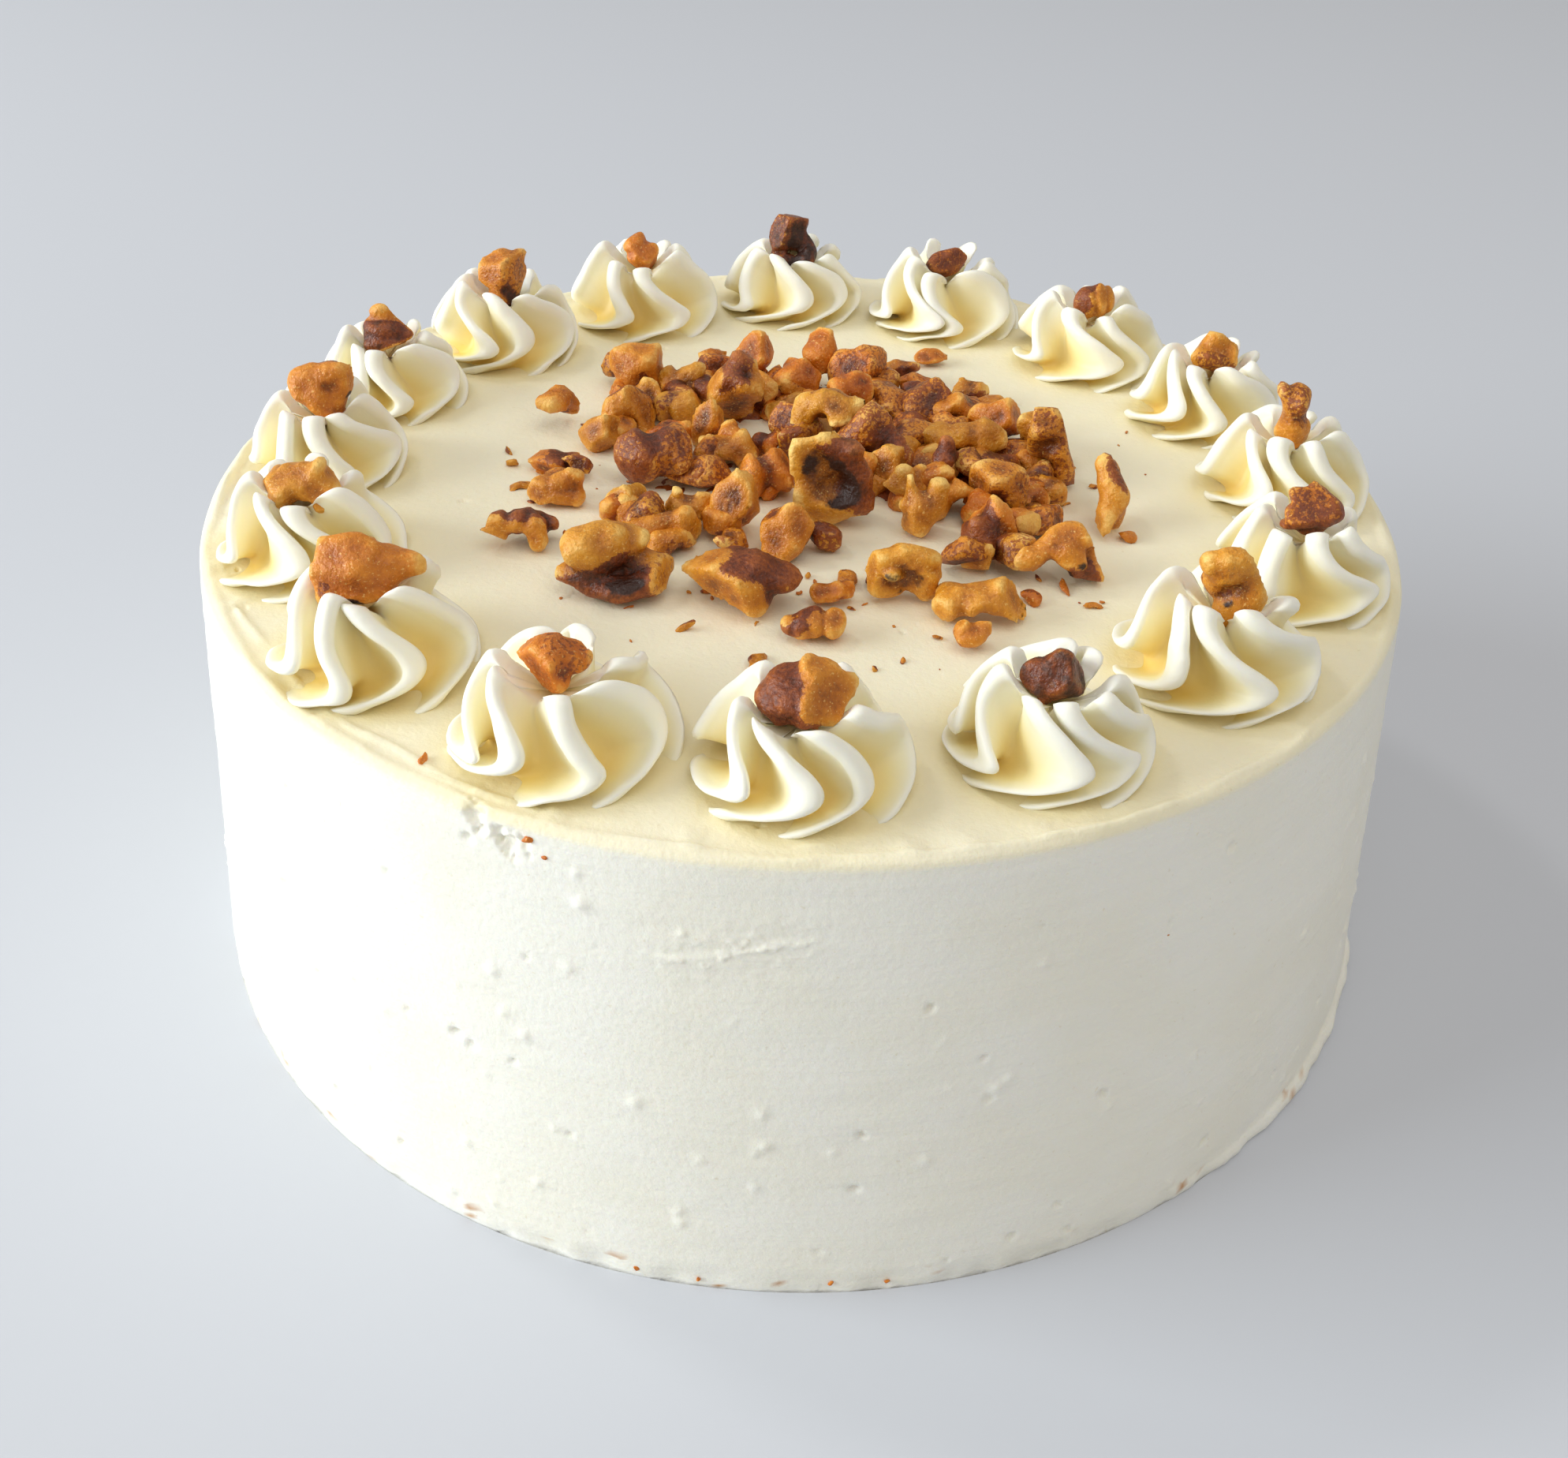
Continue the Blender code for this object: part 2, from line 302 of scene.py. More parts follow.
def piped_finish():
    """The same icing, piped, with painted light: whiter on the lips and a warm yellow painted shade down in the
    creases.
    """
    made = Finish(
        "piped_icing",
        Subsurface_Weight=0.3,
        Subsurface_Radius=(1.0, 0.85, 0.5),
        Subsurface_Scale=2.0 * MM,
        Specular_IOR_Level=0.4,
    )
    # Painted shade: the colour runs from white on the lips to a warm yellow deep in the creases.
    crease = made.attribute("crease")
    made.colour(
        made.steps(
            crease,
            (0.0, linear(255, 252, 238)),
            (0.2, linear(252, 245, 216)),
            (0.55, linear(246, 229, 168)),
            (1.0, linear(240, 206, 112)),
        )
    )
    made.rough(made.between(made.noise(3 * MM), 0.3, 0.7, 0.4, 0.52))
    made.bump(made.noise(1.3 * MM, detail=3), 0.06 * MM)
    return made.material


def walnut_finish():
    """Toasted walnut: golden broken faces, red-brown papery skin, and nearly black where the skin is darkest and in
    the hollows, where it is painted shade.
    """
    made = Finish("walnut", Specular_IOR_Level=0.5)
    tone = made.attribute("tone")
    skin = made.attribute("skin")
    hollow = made.attribute("hollow")
    ridge = made.attribute("ridge")
    mottle = made.noise(2.4 * MM, detail=4, roughness=0.6)
    fine = made.noise(0.7 * MM, detail=3)
    grain = made.math("ADD", made.math("MULTIPLY", mottle, 0.6), made.math("MULTIPLY", fine, 0.4))
    # Height mixes painted light from the ridges and grooves with the nut's own mottled grain: the ramps below put a
    # painted highlight on ridges and painted shade in grooves.
    height = made.math("ADD", made.math("MULTIPLY", ridge, 0.48), made.math("MULTIPLY", grain, 0.52))
    golden = made.steps(
        height,
        (0.22, linear(104, 52, 6)),
        (0.38, linear(186, 114, 16)),
        (0.56, linear(222, 154, 42)),
        (0.76, linear(252, 212, 122)),
    )
    orange = made.steps(
        height,
        (0.22, linear(98, 40, 4)),
        (0.38, linear(184, 90, 8)),
        (0.56, linear(220, 122, 18)),
        (0.76, linear(248, 184, 80)),
    )
    meat = made.mix(tone, golden, orange)
    # Tiny pale specks: painted glints.
    painted_glints = made.between(made.noise(0.45 * MM, detail=2), 0.60, 0.72, 0.0, 0.5)
    meat = made.mix(painted_glints, meat, linear(255, 214, 130))
    papery = made.steps(
        made.math("ADD", made.math("MULTIPLY", height, 0.7), made.math("MULTIPLY", fine, 0.3)),
        (0.26, linear(48, 17, 4)),
        (0.44, linear(110, 46, 12)),
        (0.58, linear(152, 76, 22)),
        (0.76, linear(198, 118, 50)),
    )
    broken = made.math("ADD", skin, made.between(fine, 0.3, 0.7, -0.25, 0.25))
    shown = made.mix(made.between(broken, 0.35, 0.65), meat, papery)
    # Near-black: painted shade in the hollows, plus the dark skin of darker pieces, with random blotches.
    dark = made.math("ADD", hollow, made.between(mottle, 0.3, 0.7, -0.2, 0.2))
    shown = made.mix(made.between(dark, 0.3, 0.7), shown, linear(50, 19, 5))
    made.colour(shown)
    made.rough(made.between(mottle, 0.3, 0.7, 0.30, 0.52))
    coarse = made.noise(2.0 * MM, detail=5, roughness=0.58)
    made.bump(made.math("ADD", made.math("MULTIPLY", coarse, 2.0), fine), 0.27 * MM)
    return made.material


# ---------------------------------------------------------------- the iced cake

AROUND = 450  # points round the cake
SIDE_ROW = 1.5 * MM  # between the rings up the wall
RIM_ROW = 0.6 * MM  # between the rings of the top along the rim
RIM_WIDTH = 7.2 * MM  # how far in from the edge the rings lie that close
TOP_ROW = 2.0 * MM  # between the other rings of the top, outside the heap
RIM_ROUNDING = 1.2 * MM
FOOT_HEIGHT = 3.2 * MM
CALM_RADIUS = 36 * MM  # the top within this is under the heap, and needs few rings


def icing_profile():
    """Points of the outline, from the underside's middle round the wall to the middle of the top."""
    rim_start = CAKE_TOP - RIM_ROUNDING
    outline = [(0.0, 0.0), (FOOT_RADIUS * 0.7, 0.0), (FOOT_RADIUS - 1.4 * MM, 0.0)]
    outline += [(FOOT_RADIUS - 0.5 * MM, 0.25 * MM), (FOOT_RADIUS - 0.05 * MM, 0.9 * MM)]
    outline += [(FOOT_RADIUS - 0.3 * MM, 1.9 * MM), (FOOT_RADIUS - 1.0 * MM, 2.7 * MM)]
    rows = round((rim_start - FOOT_HEIGHT) / SIDE_ROW)
    for row in range(rows):
        share = row / rows
        radius = WALL_FOOT_RADIUS + (TOP_RADIUS - WALL_FOOT_RADIUS) * share
        outline.append((radius, FOOT_HEIGHT + (rim_start - FOOT_HEIGHT) * share))
    for step in range(9):
        angle = math.pi / 2 * step / 8
        radius = TOP_RADIUS - RIM_ROUNDING * (1 - math.cos(angle))
        outline.append((radius, rim_start + RIM_ROUNDING * math.sin(angle)))
    edge = TOP_RADIUS - RIM_ROUNDING
    close = round(RIM_WIDTH / RIM_ROW)
    outline += [(edge - RIM_ROW * ring, CAKE_TOP) for ring in range(1, close + 1)]
    rings = round((edge - RIM_WIDTH - CALM_RADIUS) / TOP_ROW)
    for ring in range(1, rings + 1):
        outline.append((edge - RIM_WIDTH - (edge - RIM_WIDTH - CALM_RADIUS) * ring / rings, CAKE_TOP))
    outline += [(CALM_RADIUS * share, CAKE_TOP) for share in (0.85, 0.65, 0.4, 0.15, 0.0)]
    return outline


WALL_MARKS = 400
TOP_MARKS = 46


def icing_marks():
    """Pits (negative) and bumps: where each is, its radius and its height, in metres."""
    chance = np.random.default_rng(41)
    marks = []

    def on_wall(azimuth, height):
        share = (height - FOOT_HEIGHT) / (CAKE_TOP - FOOT_HEIGHT)
        radius = WALL_FOOT_RADIUS + (TOP_RADIUS - WALL_FOOT_RADIUS) * share
        angle = math.radians(azimuth)
        return radius * math.sin(angle), -radius * math.cos(angle), height

    for _ in range(WALL_MARKS):
        azimuth = chance.uniform(0, 360)
        height = CAKE_TOP * chance.beta(1.1, 1.7)
        size = chance.uniform(0.35, 0.85) * MM
        deep = -chance.uniform(0.5, 1.1) * size
        if chance.random() < 0.55:
            size, deep = size * 1.2, 0.55 * size
        marks.append((*on_wall(azimuth, np.clip(height, 5 * MM, CAKE_TOP - 5 * MM)), size, deep))
    for _ in range(TOP_MARKS):
        azimuth, radius = chance.uniform(0, 360), chance.uniform(48, 101) * MM
        angle = math.radians(azimuth)
        size = chance.uniform(0.25, 0.6) * MM
        marks.append((radius * math.sin(angle), -radius * math.cos(angle), CAKE_TOP, size, -0.8 * size))
    return marks


SCAR_AZIMUTH = -3.5
SCAR_REACH = 12 * MM  # to each side of its middle
SCAR_DOWN = 15 * MM  # below the top


def scar_marks():
    """Marks of no depth along the scraper's scar, which only make the mesh finer there."""
    marks = []
    for along in np.arange(-SCAR_REACH, SCAR_REACH, 2 * MM):
        for down in (-2.5 * MM, 0, 2.5 * MM):
            angle = math.radians(SCAR_AZIMUTH) + along / TOP_RADIUS
            height = CAKE_TOP - SCAR_DOWN + 2.2 * MM * math.sin(16 * along / TOP_RADIUS) + down
            radius = TOP_RADIUS + 1.3 * MM
            marks.append((radius * math.sin(angle), -radius * math.cos(angle), height, 1.2 * MM, 0.0))
    return marks


CHIP_AZIMUTH = -21.5
CHIP_PITS = (  # along the rim and down from it, then radius and depth, in millimetres
    (-5.0, 0.4, 1.5, 1.3),
    (-3.6, 2.1, 1.0, 0.9),
    (-1.2, 2.0, 1.3, 1.0),
    (0.6, 3.2, 1.6, 1.4),
    (1.7, 5.4, 1.1, 1.0),
    (2.8, 2.2, 1.2, 0.9),
    (3.6, 3.8, 0.9, 0.7),
)


def chip_marks():
    """The torn spot on the rim, left of the front."""
    marks = []
    for along, down, size, deep in CHIP_PITS:
        angle = math.radians(CHIP_AZIMUTH) + along * MM / TOP_RADIUS
        radius = TOP_RADIUS - 0.6 * MM
        place = (radius * math.sin(angle), -radius * math.cos(angle), CAKE_TOP - (1.0 + down) * MM)
        marks.append((*place, size * MM, -deep * MM))
    return marks


def iced_cake(finish):
    """The body of icing: turned, then scraped, pitted and torn as a hand-iced cake is."""
    outline = np.array(icing_profile())
    turns = 2 * math.pi * np.arange(AROUND) / AROUND
    inner = outline[1:-1]
    points = np.concatenate(
        [
            np.stack([np.full(AROUND, z) if axis == 2 else r * (np.cos, np.sin)[axis](turns) for axis in range(3)], -1)
            for r, z in inner
        ]
    )
    points = np.concatenate([points, [[0, 0, outline[0][1]], [0, 0, outline[-1][1]]]])
    steps = np.arange(AROUND)
    after = (steps + 1) % AROUND
    faces = []
    for row in range(len(inner) - 1):
        low, high = row * AROUND, (row + 1) * AROUND
        faces += np.stack([low + steps, low + after, high + after, high + steps], -1).tolist()
    bottom, top = len(points) - 2, len(points) - 1
    last = (len(inner) - 1) * AROUND
    faces += [[bottom, after[i], i] for i in steps]
    faces += [[last + i, last + after[i], top] for i in steps]

    marks = np.array(icing_marks() + chip_marks() + scar_marks())
    points, faces = finer_near(points, faces, marks, 2)
    points, faces = finer_near(points, faces, chip_marks() + scar_marks(), 1)
    points, crumbed = displaced_icing(points, marks)
    shades = {"crumbed": crumbed, "painted_warm_shade": painted_top_and_rosette_shade(points)}
    return add_piece("icing_body", points, faces, finish, "icing", ["cake_body"], **shades)


def painted_top_and_rosette_shade(points):
    """Painted shade on the icing: whitest on the wall, a warmer, darker cream on top where the light falls more
    glancingly, and most so beside the rosettes, in their shade.
    """
    on_top = ease(points[:, 2], CAKE_TOP - 1.5 * MM, CAKE_TOP - 0.3 * MM)
    # Beside each rosette the icing gets more painted shade.
    rosette_shade = np.zeros(len(points))
    for number in range(1, 17):
        low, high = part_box(f"rosette_{number:02d}")
        middle = (low + high) / 2
        apart = np.hypot(points[:, 0] - middle.x, points[:, 1] - middle.y) - (high.x - low.x) / 2
        rosette_shade = np.maximum(rosette_shade, np.exp(-np.maximum(apart, 0) / (3.5 * MM)))
    return on_top * (0.50 + 0.45 * rosette_shade)


def finer_near(points, faces, marks, cuts):
    """The mesh with the edges of its faces cut this many times round each mark."""
    near = np.zeros(len(points), bool)
    for x, y, z, size, _ in marks:
        near |= ((points - (x, y, z)) ** 2).sum(1) < (size * 1.5 + 0.7 * MM) ** 2
    mesh = bpy.data.meshes.new("icing")
    mesh.from_pydata(points.tolist(), [], faces)
    shape = bmesh.new()
    shape.from_mesh(mesh)
    bpy.data.meshes.remove(mesh)
    chosen = [face for face in shape.faces if len(face.verts) == 4 and any(near[v.index] for v in face.verts)]
    edges = list({edge for face in chosen for edge in face.edges})
    bmesh.ops.subdivide_edges(shape, edges=edges, cuts=cuts, use_grid_fill=True)
    bmesh.ops.triangulate(shape, faces=[face for face in shape.faces if len(face.verts) > 4])
    shape.verts.index_update()
    fine = np.array([v.co for v in shape.verts])
    cut = [[v.index for v in face.verts] for face in shape.faces]
    shape.free()
    return fine, cut


def foot_move(azimuth, radius):
    """How far the foot moves in, to line up with the wall: it spreads out only on the right."""
    spread = ease(np.sin(azimuth), 0.45, 0.85)
    return (WALL_FOOT_RADIUS - radius) * (1 - spread)


def displaced_icing(points, marks):
    """The icing's points moved to their uneven surface, and how much cake shows through at each."""
    x, y, z = points.T
    radius = np.hypot(x, y)
    out = np.stack([x, y, np.zeros(len(points))], -1) / np.maximum(radius, 1e-6)[:, None]
    azimuth = np.arctan2(x, -y)
    bend = np.clip((z - (CAKE_TOP - RIM_ROUNDING)) / RIM_ROUNDING, 0, 1)
    flat = np.clip((radius - (TOP_RADIUS - RIM_ROUNDING)) / RIM_ROUNDING, 0, 1)
    upward = np.where(z > CAKE_TOP - RIM_ROUNDING, bend, 0.0)
    normal = out * np.sqrt(1 - upward**2)[:, None]
    normal[:, 2] += upward
    wall = ease(z, 0.5 * MM, 4 * MM) * (radius > TOP_RADIUS - 2 * RIM_ROUNDING)
    on_top = (z > CAKE_TOP - 0.01 * MM) * 1.0

    stretched = points * (1, 1, 5)
    move = wall * 0.28 * MM * layered_noise(points, 34 * MM, 5, 2)
    move += wall * 0.10 * MM * noise(stretched, 11 * MM, 6)
    move += wall * 0.05 * MM * layered_noise(points, 2.2 * MM, 7, 2)
    move += on_top * 0.16 * MM * layered_noise(points, 24 * MM, 8, 2)
    move += on_top * 0.05 * MM * layered_noise(points, 3 * MM, 9, 2)

    # A lip that the scraper has pushed up along the rim, higher in some places, with smears next to it.
    ring = np.stack([np.cos(azimuth), np.sin(azimuth), 0 * azimuth], -1) * TOP_RADIUS
    strength = 0.35 + 0.65 * ease(noise(ring, 16 * MM, 10), -0.2, 0.7)
    across = radius - (TOP_RADIUS - 1.5 * MM + 0.7 * MM * noise(ring, 9 * MM, 11))
    lip = np.exp(-((across / (0.65 * MM)) ** 2)) * (z > CAKE_TOP - 2.4 * MM)
    move += 0.75 * MM * strength * lip * (1 + 0.4 * noise(ring, 2.5 * MM, 14))
    inner_lip = radius - (TOP_RADIUS - 4.0 * MM + 1.2 * MM * noise(ring, 14 * MM, 18))
    broken = ease(noise(ring, 11 * MM, 19) + 0.5 * noise(ring, 3 * MM, 20), 0.05, 0.5)
    move += on_top * 0.5 * MM * broken * np.exp(-((inner_lip / (0.6 * MM)) ** 2))
    smear = np.exp(-(((radius - TOP_RADIUS + 3.5 * MM) / (2.6 * MM)) ** 2)) * on_top
    move += smear * 0.45 * MM * ease(noise(ring + points * (0.4, 0.4, 0), 3.0 * MM, 12), 0.1, 0.8)

    # The foot is ragged where the icing meets the board.
    foot = 1 - ease(z, 2 * MM, 5 * MM)
    ragged = layered_noise(points * (1, 1, 0.6), 4 * MM, 13, 3)
    move -= foot * (z > 0.1 * MM) * 0.75 * MM * np.clip(ragged + 0.35, 0, 1.2)
    low_down = (z < FOOT_HEIGHT - 0.1 * MM) & (radius > FOOT_RADIUS - 2 * MM)
    move += low_down * (z > 0.1 * MM) * foot_move(azimuth, radius)

    # The long shallow scar left by the scraper on the front wall, with flakes of icing along it.
    scar_angle = azimuth - math.radians(SCAR_AZIMUTH)
    scar_path = z - (CAKE_TOP - SCAR_DOWN + 2.2 * MM * np.sin(scar_angle * 16))
    reach = np.exp(-((scar_angle * TOP_RADIUS / (0.9 * SCAR_REACH)) ** 4)) * wall
    torn = 0.5 + 0.5 * ease(noise(points, 3 * MM, 21), -0.3, 0.4)
    move += reach * torn * (0.15 * MM * np.exp(-((scar_path / (0.5 * MM)) ** 2)))
    move -= reach * torn * (0.15 * MM * np.exp(-(((scar_path - 1.4 * MM) / (1.0 * MM)) ** 2)))
    flaked = np.exp(-((scar_path / (3.2 * MM)) ** 2))
    flakes = layered_noise(points * (0.8, 0.8, 1.6), 1.7 * MM, 22, 2)
    move += reach * flaked * 0.19 * MM * ease(flakes, 0.05, 0.3)

    crumbed = np.zeros(len(points))
    ragged_edge = layered_noise(points, 1.3 * MM, 17, 2)
    for mx, my, mz, size, rise in marks:
        apart = np.sqrt(((points - (mx, my, mz)) ** 2).sum(1))
        near = np.flatnonzero(apart < 3 * size)
        apart = apart * (1 + 0.45 * ragged_edge)
        share = np.exp(-((apart[near] / size) ** 4)) if rise < 0 else np.exp(-((apart[near] / size) ** 2))
        move[near] += rise * share
    spots = noise(points, 2.6 * MM, 15) + 0.5 * noise(points, 1.1 * MM, 16)
    front_foot = foot * (z > 0.2 * MM) * ease(np.cos(azimuth), 0.2, 0.9)
    crumbed = np.maximum(crumbed, front_foot * ease(spots, 0.72, 0.95))

    move = np.where((z < 0.1 * MM), low_down * foot_move(azimuth, radius), move)
    move = np.where(flat <= 0, np.where(on_top > 0, move, 0), move)
    placed = points + normal * move[:, None]
    placed[:, 2] = np.maximum(placed[:, 2], 0)
    return placed, crumbed


# ---------------------------------------------------------------- rosettes

ROSETTE_LEVELS = 46
BLADE_POINTS = 22
# Along a blade's lip from base to tip: how far along, then its radius and height as shares of the rosette's,
# and the degrees that it has turned.
LIP = (
    (0.00, 1.00, 0.00, -6),
    (0.05, 1.03, 0.03, -1),
    (0.13, 1.04, 0.09, 12),
    (0.26, 1.04, 0.20, 35),
    (0.39, 1.00, 0.36, 48),
    (0.51, 0.91, 0.54, 44),
    (0.62, 0.80, 0.72, 34),
    (0.73, 0.69, 0.88, 24),
    (0.82, 0.60, 0.98, 18),
    (0.91, 0.50, 0.98, 15),
    (1.00, 0.40, 0.82, 15),
)
# The crease between two blades, in the same shares.
CREASE = (
    (0.00, 0.66, 0.00, 2),
    (0.13, 0.64, 0.03, 14),
    (0.26, 0.60, 0.08, 30),
    (0.39, 0.54, 0.17, 40),
    (0.51, 0.47, 0.29, 38),
    (0.62, 0.41, 0.41, 31),
    (0.73, 0.36, 0.51, 24),
    (0.82, 0.32, 0.58, 19),
    (1.00, 0.22, 0.62, 15),
)
LIP_THICKNESS = 1.85 * MM  # half of it
LIP_BEAD = 0.7 * MM  # how far the rounded edge of a lip stands out on each side of it
LIP_BEAD_AT = 0.88  # of the way out to the edge
SUNK = 0.8 * MM  # how far a rosette's foot is pressed into the icing


# How far the blades sweep round, for the rosettes that were turned more than the others.
SWEEPS = {"rosette_02": 1.12, "rosette_03": 1.15, "rosette_16": 1.15}


def rosette(node, nut_node, seed, finish):
    """One piped swirl in its node's place, with its lips kept clear of the walnut that it holds."""
    chance = np.random.default_rng(seed)
    low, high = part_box(node)
    middle = (low + high) / 2
    size = ((high.x - low.x) + (high.y - low.y)) / 4
    height = high.z - low.z
    blades = int(chance.integers(7, 9))
    pitch = 2 * math.pi / blades
    start = chance.uniform(0, 2 * math.pi)
    shift = chance.uniform(-11, 11, blades)
    reach = chance.uniform(0.90, 1.03, blades)
    shoulder = chance.uniform(0.8, 1.2, blades)
    tip = chance.uniform(0.88, 1.12, blades)
    thick = chance.uniform(0.85, 1.25, blades)
    sweep = chance.uniform(0.85, 1.3, blades) * SWEEPS.get(node, 1.0)
    phase = chance.uniform(0, 2 * math.pi, blades)
    waver = chance.uniform(6, 14, blades)
    lean = chance.uniform(-0.6, 0.6, 2) * MM

    rows, creases = [], []
    for t in np.linspace(0, 1, ROSETTE_LEVELS):
        lip_radius, lip_height, turn = curve_through(LIP, t)
        crease_radius, crease_height, crease_turn = curve_through(CREASE, t)
        row, depth = [], []
        for blade in range(blades):
            middle_swell = math.exp(-(((t - 0.5) / 0.22) ** 2))
            tip_share = max(0.0, (t - 0.6) / 0.4) ** 1.5
            r_lip = lip_radius * size * (1 + (reach[blade] - 1) * (1 - t))
            z_lip = height * lip_height * (
                1 + (shoulder[blade] - 1) * middle_swell * 0.6 + (tip[blade] - 1) * tip_share
            )
            half_width = thick[blade] * LIP_THICKNESS / max(r_lip, 4 * MM) / pitch
            x = np.linspace(-0.5, 0.5, 161)
            share = 1 / (1 + (np.abs(x) / (half_width * 1.15)) ** 3.6)
            share = (share - share[0]) / (share.max() - share[0])
            across = crease_radius * size + (r_lip - crease_radius * size) * share
            px, py = across * np.cos(x * pitch), across * np.sin(x * pitch)
            length = np.concatenate([[0], np.cumsum(np.hypot(np.diff(px), np.diff(py)))])
            even = np.interp(np.arange(BLADE_POINTS) / BLADE_POINTS * length[-1], length, x)
            b = np.interp(even, x, share)
            radius = crease_radius * size + (r_lip - crease_radius * size) * b
            z = crease_height * height + (z_lip - crease_height * height) * b**1.25
            swing = turn * (1 + (sweep[blade] - 1) * min(1, 3 * t))
            swing += waver[blade] * math.sin(phase[blade] + 7.5 * t) * min(1, 4 * t)
            turned = np.radians(shift[blade] * b + crease_turn + (swing - crease_turn) * b)
            angle = start + turned + (blade + even) * pitch
            bead = np.exp(-(((b - LIP_BEAD_AT) / 0.10) ** 2)) * np.sign(even)
            angle = angle + LIP_BEAD * bead / radius
            row.append(np.stack([radius * np.cos(angle) + lean[0] * t, radius * np.sin(angle) + lean[1] * t, z], -1))
            depth.append(1 - b)
        rows.append(np.concatenate(row))
        creases.append(np.concatenate(depth))
    grid = np.array(rows)
    across = grid.shape[1]
    points = grid.reshape(-1, 3)
    # How deep in a crease each point lies, used as painted shade, fading out towards the top of the rosette.
    crease = np.array(creases).reshape(-1)
    crease = crease * ease(1 - np.repeat(np.linspace(0, 1, ROSETTE_LEVELS), across), -0.4, 0.9)
    points = points + 0.22 * MM * np.stack([noise(points, 4 * MM, seed + k) for k in range(3)], -1)
    points[:, 2] = np.maximum(points[:, 2], 0)
    points[:, 2] -= SUNK * (1 - ease(points[:, 2], 0, 2 * MM))
    crown = grid[-1].mean(0)
    points = np.concatenate([points, [[0, 0, -SUNK], [crown[0], crown[1], grid[-1][:, 2].min() - 0.5 * MM]]])
    # The middles of the foot and of the crown get full painted shade.
    crease = np.concatenate([crease, [1, 1]])
    points += (middle.x, middle.y, low.z)
    points = clear_of_nut(points, nut_node)

    steps = np.arange(across)
    after = (steps + 1) % across
    faces = []
    for level in range(ROSETTE_LEVELS - 1):
        lower, upper = level * across, (level + 1) * across
        faces += np.stack([lower + steps, lower + after, upper + after, upper + steps], -1).tolist()
    bottom, top = len(points) - 2, len(points) - 1
    last = (ROSETTE_LEVELS - 1) * across
    faces += [[bottom, after[i], i] for i in steps]
    faces += [[last + i, last + after[i], top] for i in steps]
    name = node.replace("rosette", "piped_rosette")
    return add_piece(name, points, faces, finish, "piped_icing", [node], crease=crease)


def clear_of_nut(points, nut_node):
    """The points, with those inside the walnut's egg shape pushed out to it, so the icing cradles it."""
    low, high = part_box(nut_node)
    middle, half = np.array((low + high) / 2), np.array((high - low) / 2) * 0.86
    share = (points - middle) / half
    apart = np.linalg.norm(share, axis=1)
    inside = apart < 1
    pushed = middle + share / np.maximum(apart, 0.05)[:, None] * half
    return np.where(inside[:, None], pushed, points)


# ---------------------------------------------------------------- walnuts


def surface_net(field, corner, cell):
    """The zero level of distances sampled on a grid, as points and four-sided faces. Inside is negative."""
    shape = tuple(n - 1 for n in field.shape)
    total, count = np.zeros((*shape, 3)), np.zeros(shape)
    grid = np.stack(np.meshgrid(*map(np.arange, field.shape), indexing="ij"), -1).astype(float)
    crossings = []
    for axis in range(3):
        first = [slice(None)] * 3
        second = [slice(None)] * 3
        first[axis], second[axis] = slice(None, -1), slice(1, None)
        low, high = field[tuple(first)], field[tuple(second)]
        crossed = (low < 0) != (high < 0)
        place = grid[tuple(first)].copy()
        place[..., axis] += np.where(crossed, low / np.where(crossed, low - high, 1), 0)
        a, b = [other for other in range(3) if other != axis]
        for up_a in (0, 1):
            for up_b in (0, 1):
                window = [slice(None)] * 3
                window[a] = slice(up_a, up_a + shape[a])
                window[b] = slice(up_b, up_b + shape[b])
                here = crossed[tuple(window)]
                total += place[tuple(window)] * here[..., None]
                count += here
        crossings.append((axis, a, b, crossed, low))
    number = np.full(shape, -1)
    used = count > 0
    number[used] = np.arange(used.sum())
    points = corner + cell * total[used] / count[used][:, None]
    faces = []
    for axis, a, b, crossed, low in crossings:
        where = np.argwhere(crossed)
        keep = (where[:, a] > 0) & (where[:, b] > 0) & (where[:, a] < shape[a]) & (where[:, b] < shape[b])
        where = where[keep]
        ring = []
        for back_a, back_b in ((1, 1), (0, 1), (0, 0), (1, 0)):
            at = where.copy()
            at[:, a] -= back_a
            at[:, b] -= back_b
            ring.append(number[tuple(at.T)])
        quads = np.stack(ring, -1)
        turned = (low[tuple(where.T)] < 0) == (axis == 1)
        quads[turned] = quads[turned][:, ::-1]
        faces.append(quads)
    return points, np.concatenate(faces)


def rounded_chain(points, chain):
    """The distance to a chain of balls (x, y, z, radius), joined by tapering rods."""
    chain = np.array(chain, float)
    if len(chain) == 1:
        return np.linalg.norm(points - chain[0, :3], axis=-1) - chain[0, 3]
    nearest = None
    for start, end in zip(chain, chain[1:]):
        run = end[:3] - start[:3]
        share = np.clip(((points - start[:3]) @ run) / (run @ run), 0, 1)
        apart = np.linalg.norm(points - (start[:3] + share[..., None] * run), axis=-1)
        apart = apart - (start[3] + (end[3] - start[3]) * share)
        nearest = apart if nearest is None else np.minimum(nearest, apart)
    return nearest


def blended(first, second, width):
    """The smooth union of two distances."""
    share = np.clip(0.5 + 0.5 * (second - first) / width, 0, 1)
    return second + (first - second) * share - width * share * (1 - share)
